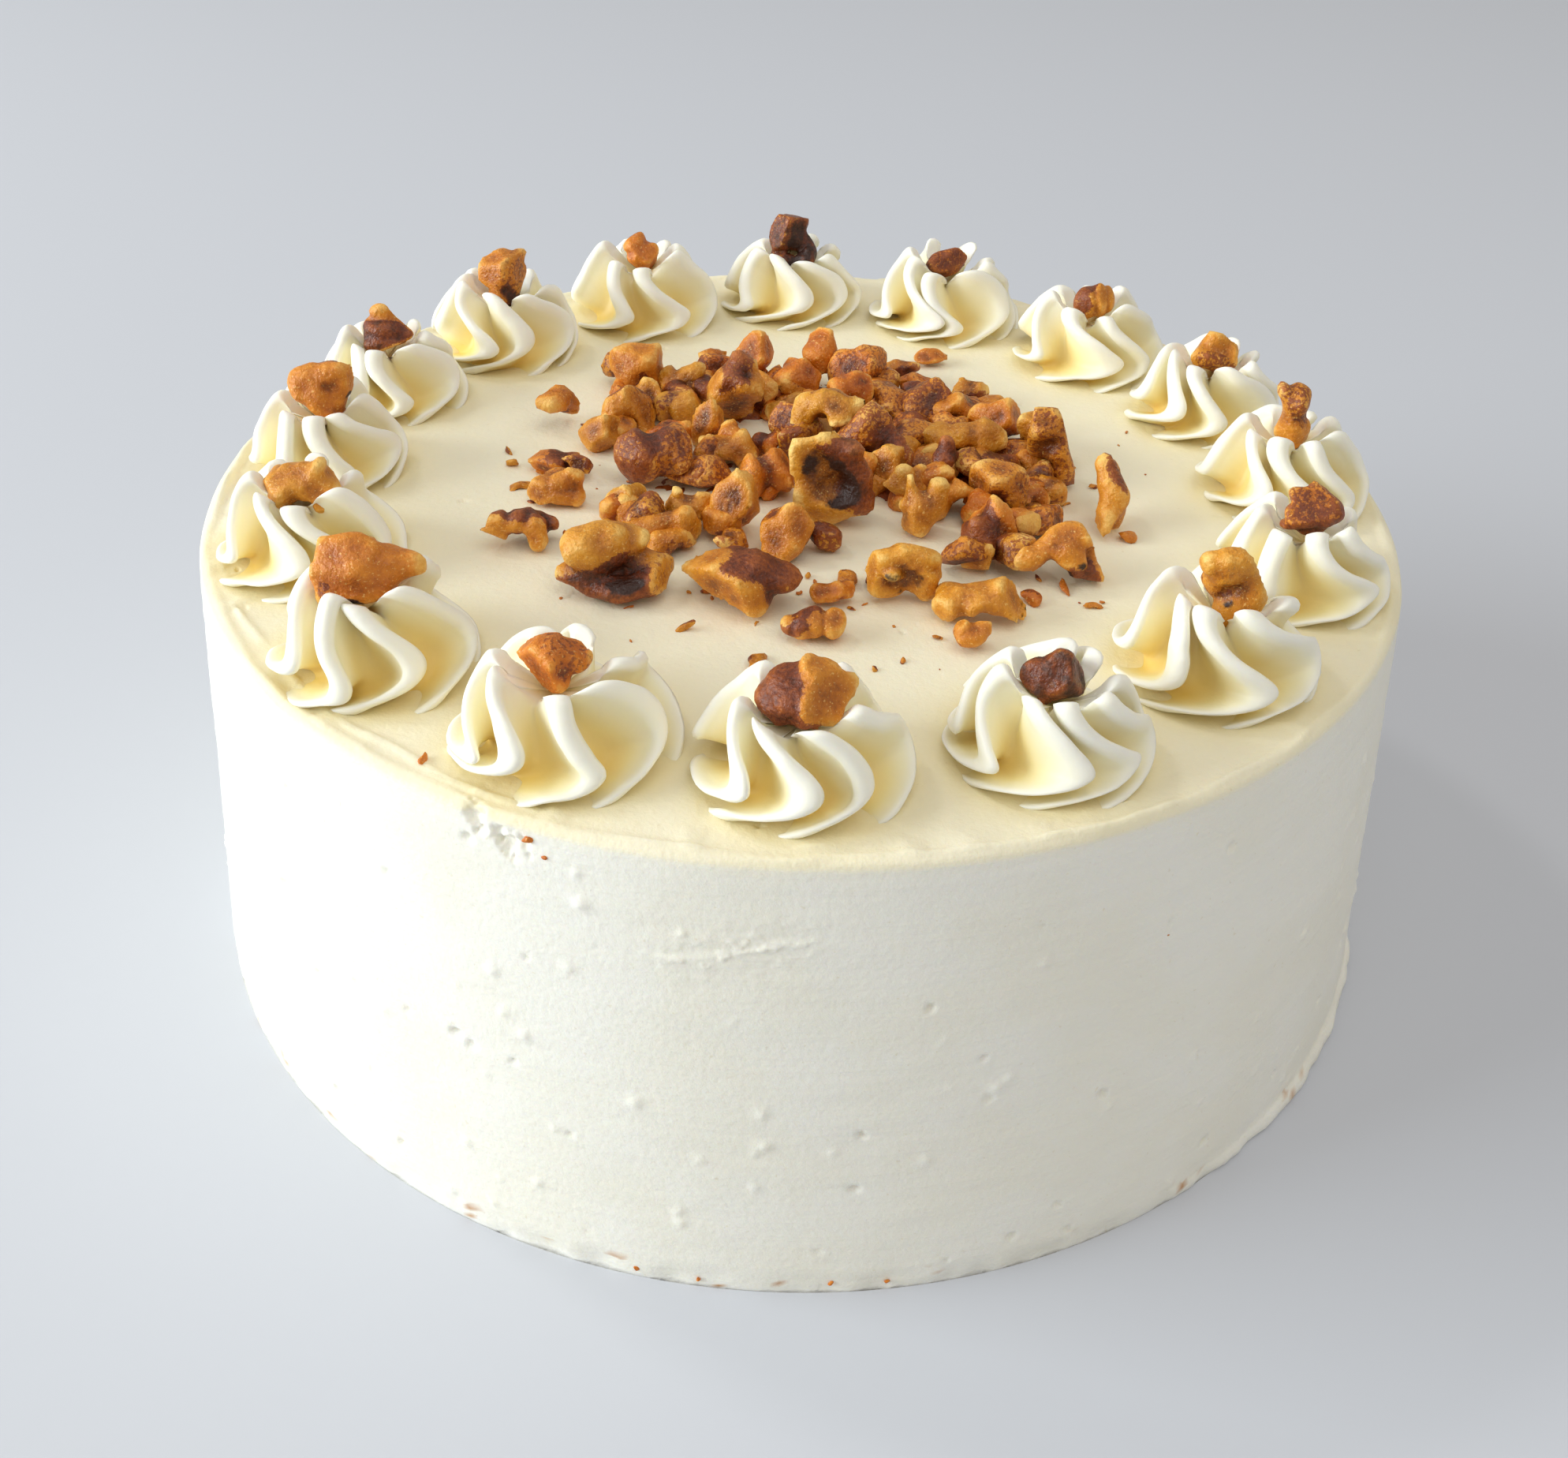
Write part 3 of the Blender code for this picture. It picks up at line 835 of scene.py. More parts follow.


# Shapes of walnut pieces as seen from the front, in shares of the piece's half size. Each has chains of
# balls (x, y, z, radius), broken faces (direction, then distance from the middle) and hollows (a ball each).
# Skin is where the papery skin is left: a direction, and how far towards it the skin starts.
# Shade, where given, is how dark the painted shade in the hollows is.
SHAPES = {
    "bean": dict(
        chains=[
            [(-0.75, -0.3, -0.35, 0.38), (-0.55, -0.1, 0.25, 0.4), (0.05, 0, 0.45, 0.42), (0.55, -0.1, 0.2, 0.4),
             (0.7, -0.35, -0.35, 0.34)],
            [(-0.2, 0.45, 0.0, 0.45), (0.2, 0.45, 0.25, 0.5), (0.75, 0.4, -0.05, 0.4)],
        ],
        cuts=[(0, -0.9, 0.2, 0.6)],
        hollows=[(0.0, -0.75, -0.6, 0.35)],
        skin=(0.25, 0.9, 0.35, 0.05),
    ),
    "triangle": dict(
        chains=[
            [(-0.55, -0.1, -0.25, 0.48), (0.35, -0.1, -0.4, 0.42)],
            [(-0.4, 0, 0, 0.42), (0.45, 0.1, 0.6, 0.28)],
            [(0.35, 0, -0.2, 0.36), (0.5, 0.1, 0.6, 0.26)],
            [(0.0, 0.3, 0.0, 0.5)],
        ],
        cuts=[(-0.2, -0.9, 0.3, 0.45)],
        hollows=[(0.95, -0.2, 0.15, 0.26)],
        skin=(0.3, 0.9, 0.2, 0.35),
    ),
    "kernel": dict(
        chains=[
            [(-0.5, -0.1, 0.05, 0.55), (-0.1, 0.15, 0.5, 0.5), (0.2, 0.3, 0.45, 0.45)],
            [(-0.75, -0.2, -0.45, 0.3), (-0.3, -0.4, -0.7, 0.28), (0.2, -0.45, -0.75, 0.24),
             (0.75, -0.3, -0.45, 0.34)],
            [(0.2, 0.1, -0.1, 0.45), (0.75, 0, -0.35, 0.36)],
            [(0.0, 0.35, -0.2, 0.55)],
        ],
        cuts=[(-0.55, -0.65, 0.5, 0.68)],
        hollows=[(0.12, -0.8, -0.2, 0.34), (0.45, -0.75, 0.2, 0.26)],
        skin=(0.75, -0.2, -0.25, 0.12),
    ),
    "ear": dict(
        chains=[
            [(-0.7, -0.1, 0.8, 0.24), (-0.74, -0.1, 0.3, 0.3), (-0.66, -0.1, -0.15, 0.34),
             (-0.3, -0.2, -0.6, 0.32), (0.3, -0.2, -0.74, 0.26), (0.7, -0.1, -0.66, 0.26)],
            [(-0.6, 0.0, 0.75, 0.24), (0.0, 0.0, 0.42, 0.28), (0.5, 0.0, 0.12, 0.3), (0.76, 0.0, -0.3, 0.26)],
            [(-0.3, 0.4, 0.1, 0.5), (0.25, 0.4, -0.3, 0.46)],
        ],
        cuts=[(-0.6, -0.7, 0.4, 0.86)],
        hollows=[(-0.28, -0.55, 0.12, 0.32), (0.05, -0.55, -0.08, 0.36), (0.4, -0.5, -0.3, 0.32)],
        skin=(0.7, 0.3, 0.35, -0.05),
        shade=0.8,
    ),
    "curled": dict(
        chains=[
            [(-0.45, 0, 0.3, 0.56), (-0.35, 0.1, 0.05, 0.6)],
            [(-0.2, 0.1, 0.55, 0.4), (0.05, 0.2, 0.3, 0.4)],
            [(-0.8, -0.1, -0.4, 0.26), (-0.3, -0.3, -0.72, 0.26), (0.2, -0.3, -0.72, 0.28),
             (0.62, -0.2, -0.5, 0.32), (0.8, -0.1, -0.25, 0.26)],
            [(0.1, 0.2, -0.2, 0.36), (0.7, 0.1, -0.35, 0.3)],
        ],
        cuts=[],
        hollows=[(0.12, -0.7, -0.2, 0.34)],
        skin=(0.5, -0.1, -0.85, 0.05),
    ),
    "wedge": dict(
        chains=[
            [(-0.6, 0, 0.15, 0.52), (0, -0.05, 0.1, 0.62), (0.65, 0.05, -0.1, 0.42)],
            [(-0.4, -0.2, -0.3, 0.5), (0.15, -0.3, -0.5, 0.45)],
        ],
        cuts=[(-0.6, -0.75, -0.15, 0.46), (-0.7, 0.2, 0.7, 0.66)],
        hollows=[],
        skin=(0.6, -0.3, 0.6, 0.0),
    ),
    "pair": dict(
        chains=[[(-0.5, 0, -0.05, 0.52)], [(0.45, 0.05, 0.05, 0.54)], [(-0.4, 0.1, 0, 0.4), (0.4, 0.1, 0, 0.4)]],
        cuts=[(0.3, -0.6, 0.7, 0.55)],
        hollows=[(-0.05, -0.85, 0.2, 0.2)],
        skin=(-0.6, 0, 0.5, 0.1),
    ),
    "lump": dict(
        chains=[[(-0.3, 0, -0.1, 0.62), (0.35, 0.1, 0.05, 0.56)], [(0.1, -0.2, 0.35, 0.5)]],
        cuts=[(-0.4, -0.7, 0.5, 0.5), (0.7, -0.3, 0.3, 0.6)],
        hollows=[],
        skin=(0.2, 0.7, -0.6, 0.1),
    ),
    "knobbly": dict(
        chains=[
            [(-0.6, 0, -0.4, 0.46), (-0.1, -0.1, -0.1, 0.56), (0.35, 0, 0.2, 0.5), (0.7, 0, 0.1, 0.36)],
            [(0.1, 0.1, 0.3, 0.42), (0.15, 0.1, 0.62, 0.3)],
            [(-0.45, 0, 0.1, 0.36)],
            [(0.45, -0.2, -0.35, 0.36)],
        ],
        cuts=[(0.5, -0.8, 0.4, 0.5)],
        hollows=[],
        skin=(-0.8, -0.1, -0.3, -0.05),
    ),
    "cup": dict(
        chains=[
            [(-0.4, 0, -0.62, 0.34), (-0.64, 0, -0.1, 0.36), (-0.5, 0, 0.45, 0.36), (0.05, 0, 0.6, 0.38),
             (0.55, 0, 0.45, 0.36), (0.64, 0, -0.1, 0.34), (0.42, 0, -0.55, 0.34)],
            [(0.0, 0.4, 0.0, 0.66)],
        ],
        knob=[(-0.1, 0.1, 0.1, 0.30), (-0.2, -0.42, 0.2, 0.22)],
        cuts=[],
        hollows=[(0.04, -0.68, 0.0, 0.56), (0.3, -0.55, -0.1, 0.36), (0.06, -0.5, -0.75, 0.3)],
        skin=(0.2, 0.9, -0.4, 0.2),
        shade=0.45,
    ),
    "dogbone": dict(
        chains=[
            [(-0.68, -0.2, -0.2, 0.44), (-0.25, 0, 0.15, 0.4), (0.25, 0.05, 0.2, 0.42), (0.68, -0.1, -0.1, 0.45)],
            [(0.45, 0.1, 0.2, 0.36), (0.45, 0, 0.5, 0.3)],
            [(-0.6, 0.2, -0.1, 0.4)],
        ],
        cuts=[(-0.75, -0.6, -0.1, 0.78), (0.2, -0.9, 0.3, 0.55)],
        hollows=[(0.05, -0.6, -0.8, 0.42)],
        skin=(0.2, 0.85, -0.4, 0.2),
    ),
    "horned": dict(
        chains=[
            [(0, 0, -0.25, 0.62)],
            [(-0.2, 0, 0, 0.42), (-0.32, 0, 0.7, 0.2)],
            [(0.3, 0, 0, 0.38), (0.45, 0.1, 0.45, 0.24)],
        ],
        cuts=[(0.1, -0.9, 0.3, 0.5)],
        hollows=[],
        skin=(-0.7, 0.4, -0.6, 0.3),
    ),
    "arch": dict(
        chains=[
            [(-0.8, -0.3, -0.35, 0.28), (-0.6, -0.15, 0.05, 0.34), (-0.15, 0, 0.4, 0.42), (0.4, 0, 0.5, 0.4),
             (0.75, -0.05, 0.2, 0.32)],
            [(-0.05, -0.1, 0.3, 0.36), (0.15, -0.4, -0.45, 0.24)],
            [(0.3, 0.35, 0.1, 0.5), (0.65, 0.2, -0.6, 0.36)],
            [(0.45, -0.2, -0.6, 0.28), (0.8, -0.3, -0.65, 0.24)],
        ],
        cuts=[(-0.2, -0.6, 0.75, 0.66)],
        hollows=[(-0.3, -0.6, -0.65, 0.34), (0.5, -0.75, -0.2, 0.26)],
        skin=(0.5, 0.2, -0.75, 0.2),
    ),
    "flake": dict(
        chains=[
            [(-0.2, -0.6, -0.6, 0.34), (0.1, -0.1, 0.1, 0.4), (-0.1, 0.3, 0.65, 0.34)],
            [(0.1, -0.2, -0.6, 0.34), (0.25, 0.4, -0.2, 0.38), (0.1, 0.6, 0.4, 0.32)],
        ],
        cuts=[(-0.9, -0.3, 0.1, 0.4), (0.9, 0.3, 0, 0.45)],
        hollows=[],
        skin=(0.8, 0.4, 0.3, 0.25),
    ),
    "standing": dict(
        chains=[
            [(-0.35, -0.1, 0.6, 0.42), (0.3, 0, 0.62, 0.38), (0.55, 0, 0.2, 0.38), (0.5, -0.1, -0.3, 0.4),
             (0.15, -0.1, -0.62, 0.4)],
            [(-0.42, 0.1, 0.4, 0.38), (-0.3, 0.35, 0.0, 0.36)],
            [(0.1, 0.35, 0.1, 0.5)],
        ],
        cuts=[],
        hollows=[(-0.22, -0.66, -0.06, 0.38)],
        skin=(0.2, 0.9, -0.2, 0.0),
        shade=0.8,
    ),
    "long": dict(
        chains=[
            [(-0.65, 0, 0.3, 0.46), (-0.1, 0, 0.15, 0.55), (0.4, 0, 0, 0.45), (0.8, 0.05, 0.05, 0.28)],
            [(-0.35, -0.1, -0.3, 0.45), (0.2, -0.1, -0.35, 0.4)],
        ],
        cuts=[(-0.3, -0.7, 0.6, 0.52), (0.2, -0.5, 0.85, 0.55)],
        hollows=[(-0.2, -0.6, -0.8, 0.34)],
        skin=(-0.8, -0.2, 0.3, 0.35),
    ),
    "block": dict(
        chains=[[(-0.3, 0, 0.25, 0.62), (0.3, 0, 0.2, 0.58)], [(-0.2, 0, -0.4, 0.5), (0.25, 0, -0.3, 0.55)]],
        cuts=[(-0.75, -0.6, 0.1, 0.55), (0.5, -0.8, 0.1, 0.6), (0, -0.1, 1, 0.68)],
        hollows=[],
        skin=(0.75, -0.5, 0.1, 0.05),
    ),
}
NET_CELLS = 32  # across a whole walnut piece's longest side
PIECE_CELLS = 21  # across one of the heap's pieces
FEWEST_CELLS = 9
FULL_RELIEF = 3.5 * MM  # pieces with a smaller half size have less relief
FOLD_SPACING = 4.2 * MM
FOLD_DEPTH = 0.60 * MM
FINE_SPACING = 1.7 * MM
FINE_DEPTH = 0.22 * MM
BREAK_SPACING = 3.2 * MM
BREAK_DEPTH = 0.30 * MM
HOLLOWED = 0.85  # of each hollow's radius
# Passes of smoothing, and the gain, for the painted ridge light.
RIDGE_PASSES = 6
RIDGE_GAIN = 4.2


def fragment(shape, sizes, seed, cells, chips=3):
    """One piece of walnut round the origin: points, faces, and at each point the share of skin, the painted shade of
    its hollows and the painted light of its ridges and grooves.

    Sizes are its length, depth and height. The relief is in true millimetres, whatever the sizes are."""
    recipe = SHAPES[shape]
    half = np.array(sizes) / 2
    reach = 1.25
    cell = 2 * reach / np.maximum(cells * half / half.max(), FEWEST_CELLS)
    counts = np.ceil(2 * reach / cell).astype(int) + 1
    axes = [-reach + step * np.arange(count) for step, count in zip(cell, counts)]
    grid = np.stack(np.meshgrid(*axes, indexing="ij"), -1)
    scale = half.mean()
    wrinkle = min(1.0, scale / FULL_RELIEF)
    chance = np.random.default_rng(seed)
    cuts = recipe["cuts"] + [(*chance.normal(size=3), chance.uniform(0.52, 0.75)) for _ in range(chips)]

    def distance(points):
        true = points * half
        warped = points + 0.12 * np.stack([noise(true, 0.8 * scale, seed + k) for k in range(3)], -1)
        nearest = None
        for chain in recipe["chains"]:
            apart = rounded_chain(warped, chain)
            nearest = apart if nearest is None else blended(nearest, apart, 0.12)
        folds = 0.5 - 2 * np.abs(noise(true, FOLD_SPACING, seed + 5))
        lumps = FOLD_DEPTH * folds + FINE_DEPTH * noise(true, FINE_SPACING, seed + 6)
        nearest = nearest + wrinkle * lumps / scale
        for x, y, z, radius in recipe["hollows"]:
            apart = np.linalg.norm(warped - (x, y, z), axis=-1) - radius * HOLLOWED
            nearest = -blended(-nearest, apart, 0.08)
        if "knob" in recipe:
            nearest = blended(nearest, rounded_chain(warped, recipe["knob"]), 0.1)
        for nx, ny, nz, far in cuts:
            direction = np.array((nx, ny, nz)) / math.sqrt(nx * nx + ny * ny + nz * nz)
            rough = wrinkle * BREAK_DEPTH / scale * layered_noise(true, BREAK_SPACING, seed + 7, 2)
            nearest = np.maximum(nearest, points @ direction - far + rough)
        return nearest

    points, faces = surface_net(distance(grid), np.array([-reach] * 3), cell)
    warped = points + 0.12 * np.stack([noise(points * half, 0.8 * scale, seed + k) for k in range(3)], -1)
    sx, sy, sz, start = recipe["skin"]
    direction = np.array((sx, sy, sz)) / math.sqrt(sx * sx + sy * sy + sz * sz)
    skin = ease(points @ direction + 0.35 * noise(points * half, 4 * MM, seed + 9), start - 0.12, start + 0.12)
    for nx, ny, nz, far in cuts:
        facing = np.array((nx, ny, nz)) / math.sqrt(nx * nx + ny * ny + nz * nz)
        skin = skin * (1 - 0.85 * ease(points @ facing - far, -0.16, -0.06))
    # Painted shade inside each hollow, as dark as the shape's shade.
    hollow = np.zeros(len(points))
    for x, y, z, radius in recipe["hollows"]:
        apart = np.linalg.norm(warped - (x, y, z), axis=-1) - radius * HOLLOWED
        hollow = np.maximum(hollow, recipe.get("shade", 1) * (1 - ease(apart, 0.02, 0.16)))
    points = points * half
    return points, faces, {"skin": skin, "hollow": hollow, "ridge": painted_ridge_light(points, faces, 0.35 * scale)}


def painted_ridge_light(points, faces, size):
    """How much each point stands out from those round it, used as painted light: 0.5 on the flat, towards 1 (painted
    highlight) on ridges, 0 (painted shade) in grooves.
    """
    ends = np.concatenate([faces[:, [k, (k + 1) % 4]] for k in range(4)])
    ends = np.concatenate([ends, ends[:, ::-1]])
    count = np.bincount(ends[:, 0], minlength=len(points))

    def averaged(values):
        summed = [np.bincount(ends[:, 0], values[ends[:, 1], k], len(points)) for k in range(values.shape[1])]
        return np.stack(summed, -1) / count[:, None]

    first, second = points[faces[:, 2]] - points[faces[:, 0]], points[faces[:, 3]] - points[faces[:, 1]]
    normals = np.zeros_like(points)
    for k in range(4):
        np.add.at(normals, faces[:, k], np.cross(first, second))
    normals /= np.linalg.norm(normals, axis=1, keepdims=True) + 1e-12
    smooth = points
    for _ in range(RIDGE_PASSES):
        smooth = averaged(smooth)
    stand = ((points - smooth) * normals).sum(1, keepdims=True)
    stand = averaged(averaged(stand))[:, 0]
    stand = stand - np.median(stand)
    return np.clip(0.5 + stand / size * RIDGE_GAIN, 0, 1)


def fitted(points, low, high):
    """The points scaled and moved so that they fill the box from low to high."""
    least, most = points.min(0), points.max(0)
    low, high = np.array(low), np.array(high)
    return low + (points - least) / (most - least) * (high - low)


# The walnut on each rosette: its shape, tone (0 golden, 1 orange), how much skin it has and how dark it is.
ROSETTE_WALNUTS = (
    ("knobbly", 0.45, 0.6, 0.0, (0, 0, 0)),
    ("lump", 0.6, 1.2, 0.55, (0, 0, 0)),
    ("standing", 0.2, 0.2, 0.1, (0, 0, 0)),
    ("wedge", 0.6, 1.0, 0.15, (0, 90, 0)),
    ("pair", 0.3, 0.2, 0.0, (0, 90, 0)),
    ("lump", 0.3, 0.2, 0.1, (0, 0, 180)),
    ("pair", 0.3, 0.4, 0.0, (0, 0, 0)),
    ("lump", 0.8, 1.1, 0.45, (0, 0, 60)),
    ("kernel", 0.4, 1.1, 0.6, (0, 0, 0)),
    ("lump", 0.8, 0.5, 0.1, (0, 60, 0)),
    ("block", 0.5, 0.75, 0.6, (0, 0, 30)),
    ("knobbly", 0.5, 0.7, 0.4, (0, 0, 90)),
    ("triangle", 0.6, 0.5, 0.2, (0, 30, 0)),
    ("dogbone", 0.2, 0.3, 0.0, (0, 0, 0)),
    ("long", 0.7, 0.3, 0.1, (0, 0, 0)),
    ("wedge", 0.9, 0.1, 0.0, (0, 0, 0)),
)
LOOSE_WALNUTS = (
    ("bean", 0.3, 0.5, 0.0, (0, 0, 0)),
    ("triangle", 0.4, 0.1, 0.0, (0, 0, 0)),
    ("curled", 0.15, 0.7, 0.35, (0, 0, 0)),
    ("wedge", 0.3, 0.6, 0.0, (0, 0, 0)),
    ("pair", 0.4, 0.6, 0.2, (0, 0, 0)),
    ("lump", 0.7, 0.1, 0.0, (0, 0, 0)),
    ("cup", 0.1, 0.1, 0.0, (0, 0, 0)),
    ("dogbone", 0.2, 0.1, 0.0, (0, 0, 0)),
    ("horned", 0.5, 0.1, 0.0, (0, 0, 0)),
    ("arch", 0.4, 0.5, 0.3, (0, 0, 0)),
    ("flake", 0.3, 0.5, 0.0, (0, 0, 0)),
    ("lump", 0.7, 0.2, 0.0, (0, 0, 0)),
)


FILLED = {"walnut_piece_16": 0.84}  # the share of its node's box that a piece fills, where it isn't all of it


def turned(points, degrees):
    rotation = Euler([math.radians(angle) for angle in degrees]).to_matrix()
    return points @ np.array(rotation).T


def toasted(marks, tone, skinned, darkness):
    """A piece's marks, with its own tone and with more or less skin and darkness."""
    skin = np.clip(marks["skin"] * 0.85 + (skinned - 0.5) * 1.1, 0, 1)
    # Dark skin is real colour; it is added to the painted shade of the hollows.
    hollow = np.clip(marks["hollow"] + darkness * skin, 0, 1)
    return {"skin": skin, "hollow": hollow, "ridge": marks["ridge"], "tone": np.full(len(skin), tone)}


def single_walnut(node, row, seed, finish):
    """A walnut piece in its node's box."""
    shape, tone, skinned, darkness, degrees = row
    low, high = map(np.array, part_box(node))
    points, faces, marks = fragment(shape, high - low, seed, NET_CELLS, chips=1)
    spare = (high - low) * (1 - FILLED.get(node, 1)) / 2
    points = fitted(turned(points, degrees), low + spare, high - spare)
    name = node.replace("walnut", "nut")
    return add_piece(name, points, faces, finish, "walnut", [node], **toasted(marks, tone, skinned, darkness))


def walnuts(finish):
    for number, row in enumerate(ROSETTE_WALNUTS, start=1):
        single_walnut(f"walnut_piece_{number:02d}", row, 300 + 10 * number, finish)
    for number, row in enumerate(LOOSE_WALNUTS, start=1):
        single_walnut(f"walnut_loose_{number:02d}", row, 700 + 10 * number, finish)


# ---------------------------------------------------------------- the heap


# Each of the heap's larger pieces: shape, x and y of its middle and how far it is lifted off the icing, its
# length, depth and height (all in millimetres), heading and tilt (degrees), tone, share of skin and darkness.
HEAP_PIECES = (
    ("ear", 5, -11, 0.5, 14, 10, 15, -10, 0, 0.1, 0.5, 0.4),
    ("lump", -11.5, -17, 0, 8, 8, 11, 10, 0, 0.35, 0.0, 0.0),
    ("pair", -6.5, -3, 0, 10, 9, 8, 20, 0, 0.7, 0.0, 0.0),
    ("lump", -2.3, -24, 0, 9, 8, 9, 60, 0, 0.5, 0.3, 0.0),
    ("pair", -27, 1, 0, 13, 11, 9.5, 10, 0, 0.5, 0.95, 0.1),
    ("lump", -18.5, -1, 0, 11, 8, 6, -10, 0, 0.5, 0.95, 0.3),
    ("lump", -30.7, -13, 0, 7, 6, 6, 0, 0, 0.0, 0.0, 0.0),
    ("horned", -19.5, -16, 0, 8, 6, 7, 0, 0, 0.1, 0.0, 0.0),
    ("dogbone", -24, -22, 0, 13, 8, 6.5, 5, 0, 0.3, 0.5, 0.0),
    ("wedge", -13.5, 25.5, 0, 14, 9, 9.5, 0, 80, 0.3, 0.4, 0.0),
    ("lump", -11, 43, 3, 8, 7, 8, 0, 0, 0.7, 0.1, 0.0),
    ("lump", -18.3, 16, 0, 6, 5, 9, 0, 0, 0.3, 0.1, 0.0),
    ("dogbone", -14, 9, 0, 11, 8, 6, -10, 0, 0.3, 0.7, 0.0),
    ("block", -34, 38, 0, 10, 8, 9, 10, 0, 0.5, 0.5, 0.0),
    ("dogbone", -24, 37, 0, 12, 8, 7, -15, 0, 0.1, 0.2, 0.0),
    ("lump", -31.4, 29, 0, 8, 7, 7, 30, 0, 0.1, 0.2, 0.0),
    ("pair", -24.5, 24, 0, 9, 7, 7, -30, 0, 0.0, 0.2, 0.0),
    ("bean", -33.5, 20, 0, 10, 8, 9, 10, 0, 0.3, 0.7, 0.2),
    ("lump", -38, 13, 0, 8, 7, 7, 0, 0, 0.3, 0.1, 0.0),
    ("wedge", -45, 3, 0, 9.5, 6, 3.6, 10, 0, 0.8, 0.7, 0.2),
    ("dogbone", 29.5, 11.5, 3, 15, 7, 6, 0, 0, 0.05, 0.2, 0.0),
    ("bean", 32.5, 5, 0, 14, 7, 6, 0, 0, 0.3, 0.3, 0.0),
    ("wedge", 25.6, 0.5, 2.5, 8, 4, 5, 70, 70, 0.6, 1.0, 0.0),
    ("bean", 27.5, -8, 0, 10, 6, 6, 10, 0, 0.4, 0.1, 0.0),
    ("block", 34.5, -8, 1, 10, 7, 8, -10, 0, 0.4, 0.8, 0.5),
    ("wedge", 41, -2, 1.5, 9, 3, 3, 5, 0, 0.8, 0.2, 0.0),
    ("horned", 21, -15, 0, 8, 7, 10, 0, 0, 0.2, 0.0, 0.0),
    ("pair", 31.7, -23, 0, 9, 8, 9, 40, 20, 0.7, 0.4, 0.0),
    ("standing", 45, 6, 0, 8, 8, 14, -10, 10, 0.3, 0.9, 0.1),
    ("block", 43.6, 14.5, 0, 8, 7, 8, 30, 0, 0.2, 0.2, 0.0),
    ("lump", 36.3, 20.5, 0, 10, 8, 9, 0, 0, 0.7, 0.6, 0.0),
    ("bean", 29.6, 26, 1, 11, 6, 6.5, 0, 0, 0.5, 0.1, 0.0),
    ("lump", 23, 28, 0, 10, 8, 8.5, 45, 0, 0.5, 1.0, 0.4),
    ("kernel", 16.5, 29, 0, 10, 9, 7, 80, 0, 0.5, 0.9, 0.3),
    ("wedge", 22.5, 40, 0, 7.5, 5, 5, 10, 0, 0.9, 0.1, 0.0),
    ("pair", 8.5, 26.5, 3.5, 8.5, 6, 6.5, 20, 0, 1.0, 0.0, 0.0),
    ("long", 2.5, 44, 3, 9, 6.5, 6, 60, 60, 0.8, 0.3, 0.0),
    ("lump", 10, 40, 1, 11, 8, 9, 0, 0, 0.8, 0.9, 0.0),
    ("lump", -2, 38, 0, 10, 8, 8, 70, 0, 0.9, 0.1, 0.0),
    ("dogbone", -3.5, 26, 0, 8, 6, 6, 20, 0, 0.0, 0.1, 0.0),
    ("lump", -2, 15, 1, 9, 7, 9, 0, 0, 0.5, 1.0, 0.1),
    ("bean", 4, 13, 5, 13, 7, 6.5, -30, 15, 0.0, 0.1, 0.0),
    ("kernel", 11.5, 7, 1.5, 16, 10, 11, -15, 0, 0.4, 1.0, 0.1),
    ("lump", 15, 0.5, 0, 7, 6, 8, 0, 0, 0.2, 0.2, 0.0),
    ("horned", 18.5, -4, 0, 8, 6, 7, 20, 0, 0.2, 0.1, 0.0),
    ("cup", -9, 33, 0, 9, 7, 7, 120, 0, 0.4, 0.6, 0.1),
    ("lump", 13, 34, 0, 9, 8, 6, 0, 0, 0.6, 0.5, 0.1),
    ("lump", 35, 30, 0, 8, 6, 5, 0, 0, 0.5, 0.4, 0.0),
    ("dogbone", -20, 46, 0, 8, 6, 4.5, 30, 0, 0.4, 0.3, 0.0),
    ("lump", 27, 18, 0, 10, 8, 6, 20, 0, 0.4, 0.9, 0.3),
    ("lump", 39, 12, 0, 9, 8, 5, 0, 0, 0.5, 0.9, 0.4),
    ("kernel", 20, 14, 0, 12, 9, 7, 200, 0, 0.5, 0.9, 0.4),
    ("lump", 9, 19, 0, 10, 8, 7, 20, 0, 0.5, 0.9, 0.3),
    ("lump", 21, 6, 0, 9, 8, 5, 20, 0, 0.5, 0.8, 0.4),
    ("wedge", 35, -14.5, 0, 9, 6, 4.5, 20, 0, 0.6, 0.9, 0.4),
    ("lump", 41, -14, 0, 9, 7, 5, 0, 0, 0.6, 0.9, 0.3),
)
HEAP_GROWTH = np.array((1.08, 1.15, 1.12))
SKINNED = 0.45  # a piece with more skin than this counts among the dark ones
FILLERS = 90  # smaller pieces between the others
FILLER_SHAPES = ("lump", "horned", "pair", "wedge", "block", "dogbone")
FILLER_CELLS = 14
CORE_STEP = 0.9 * MM
CORE_HEIGHT = 5 * MM


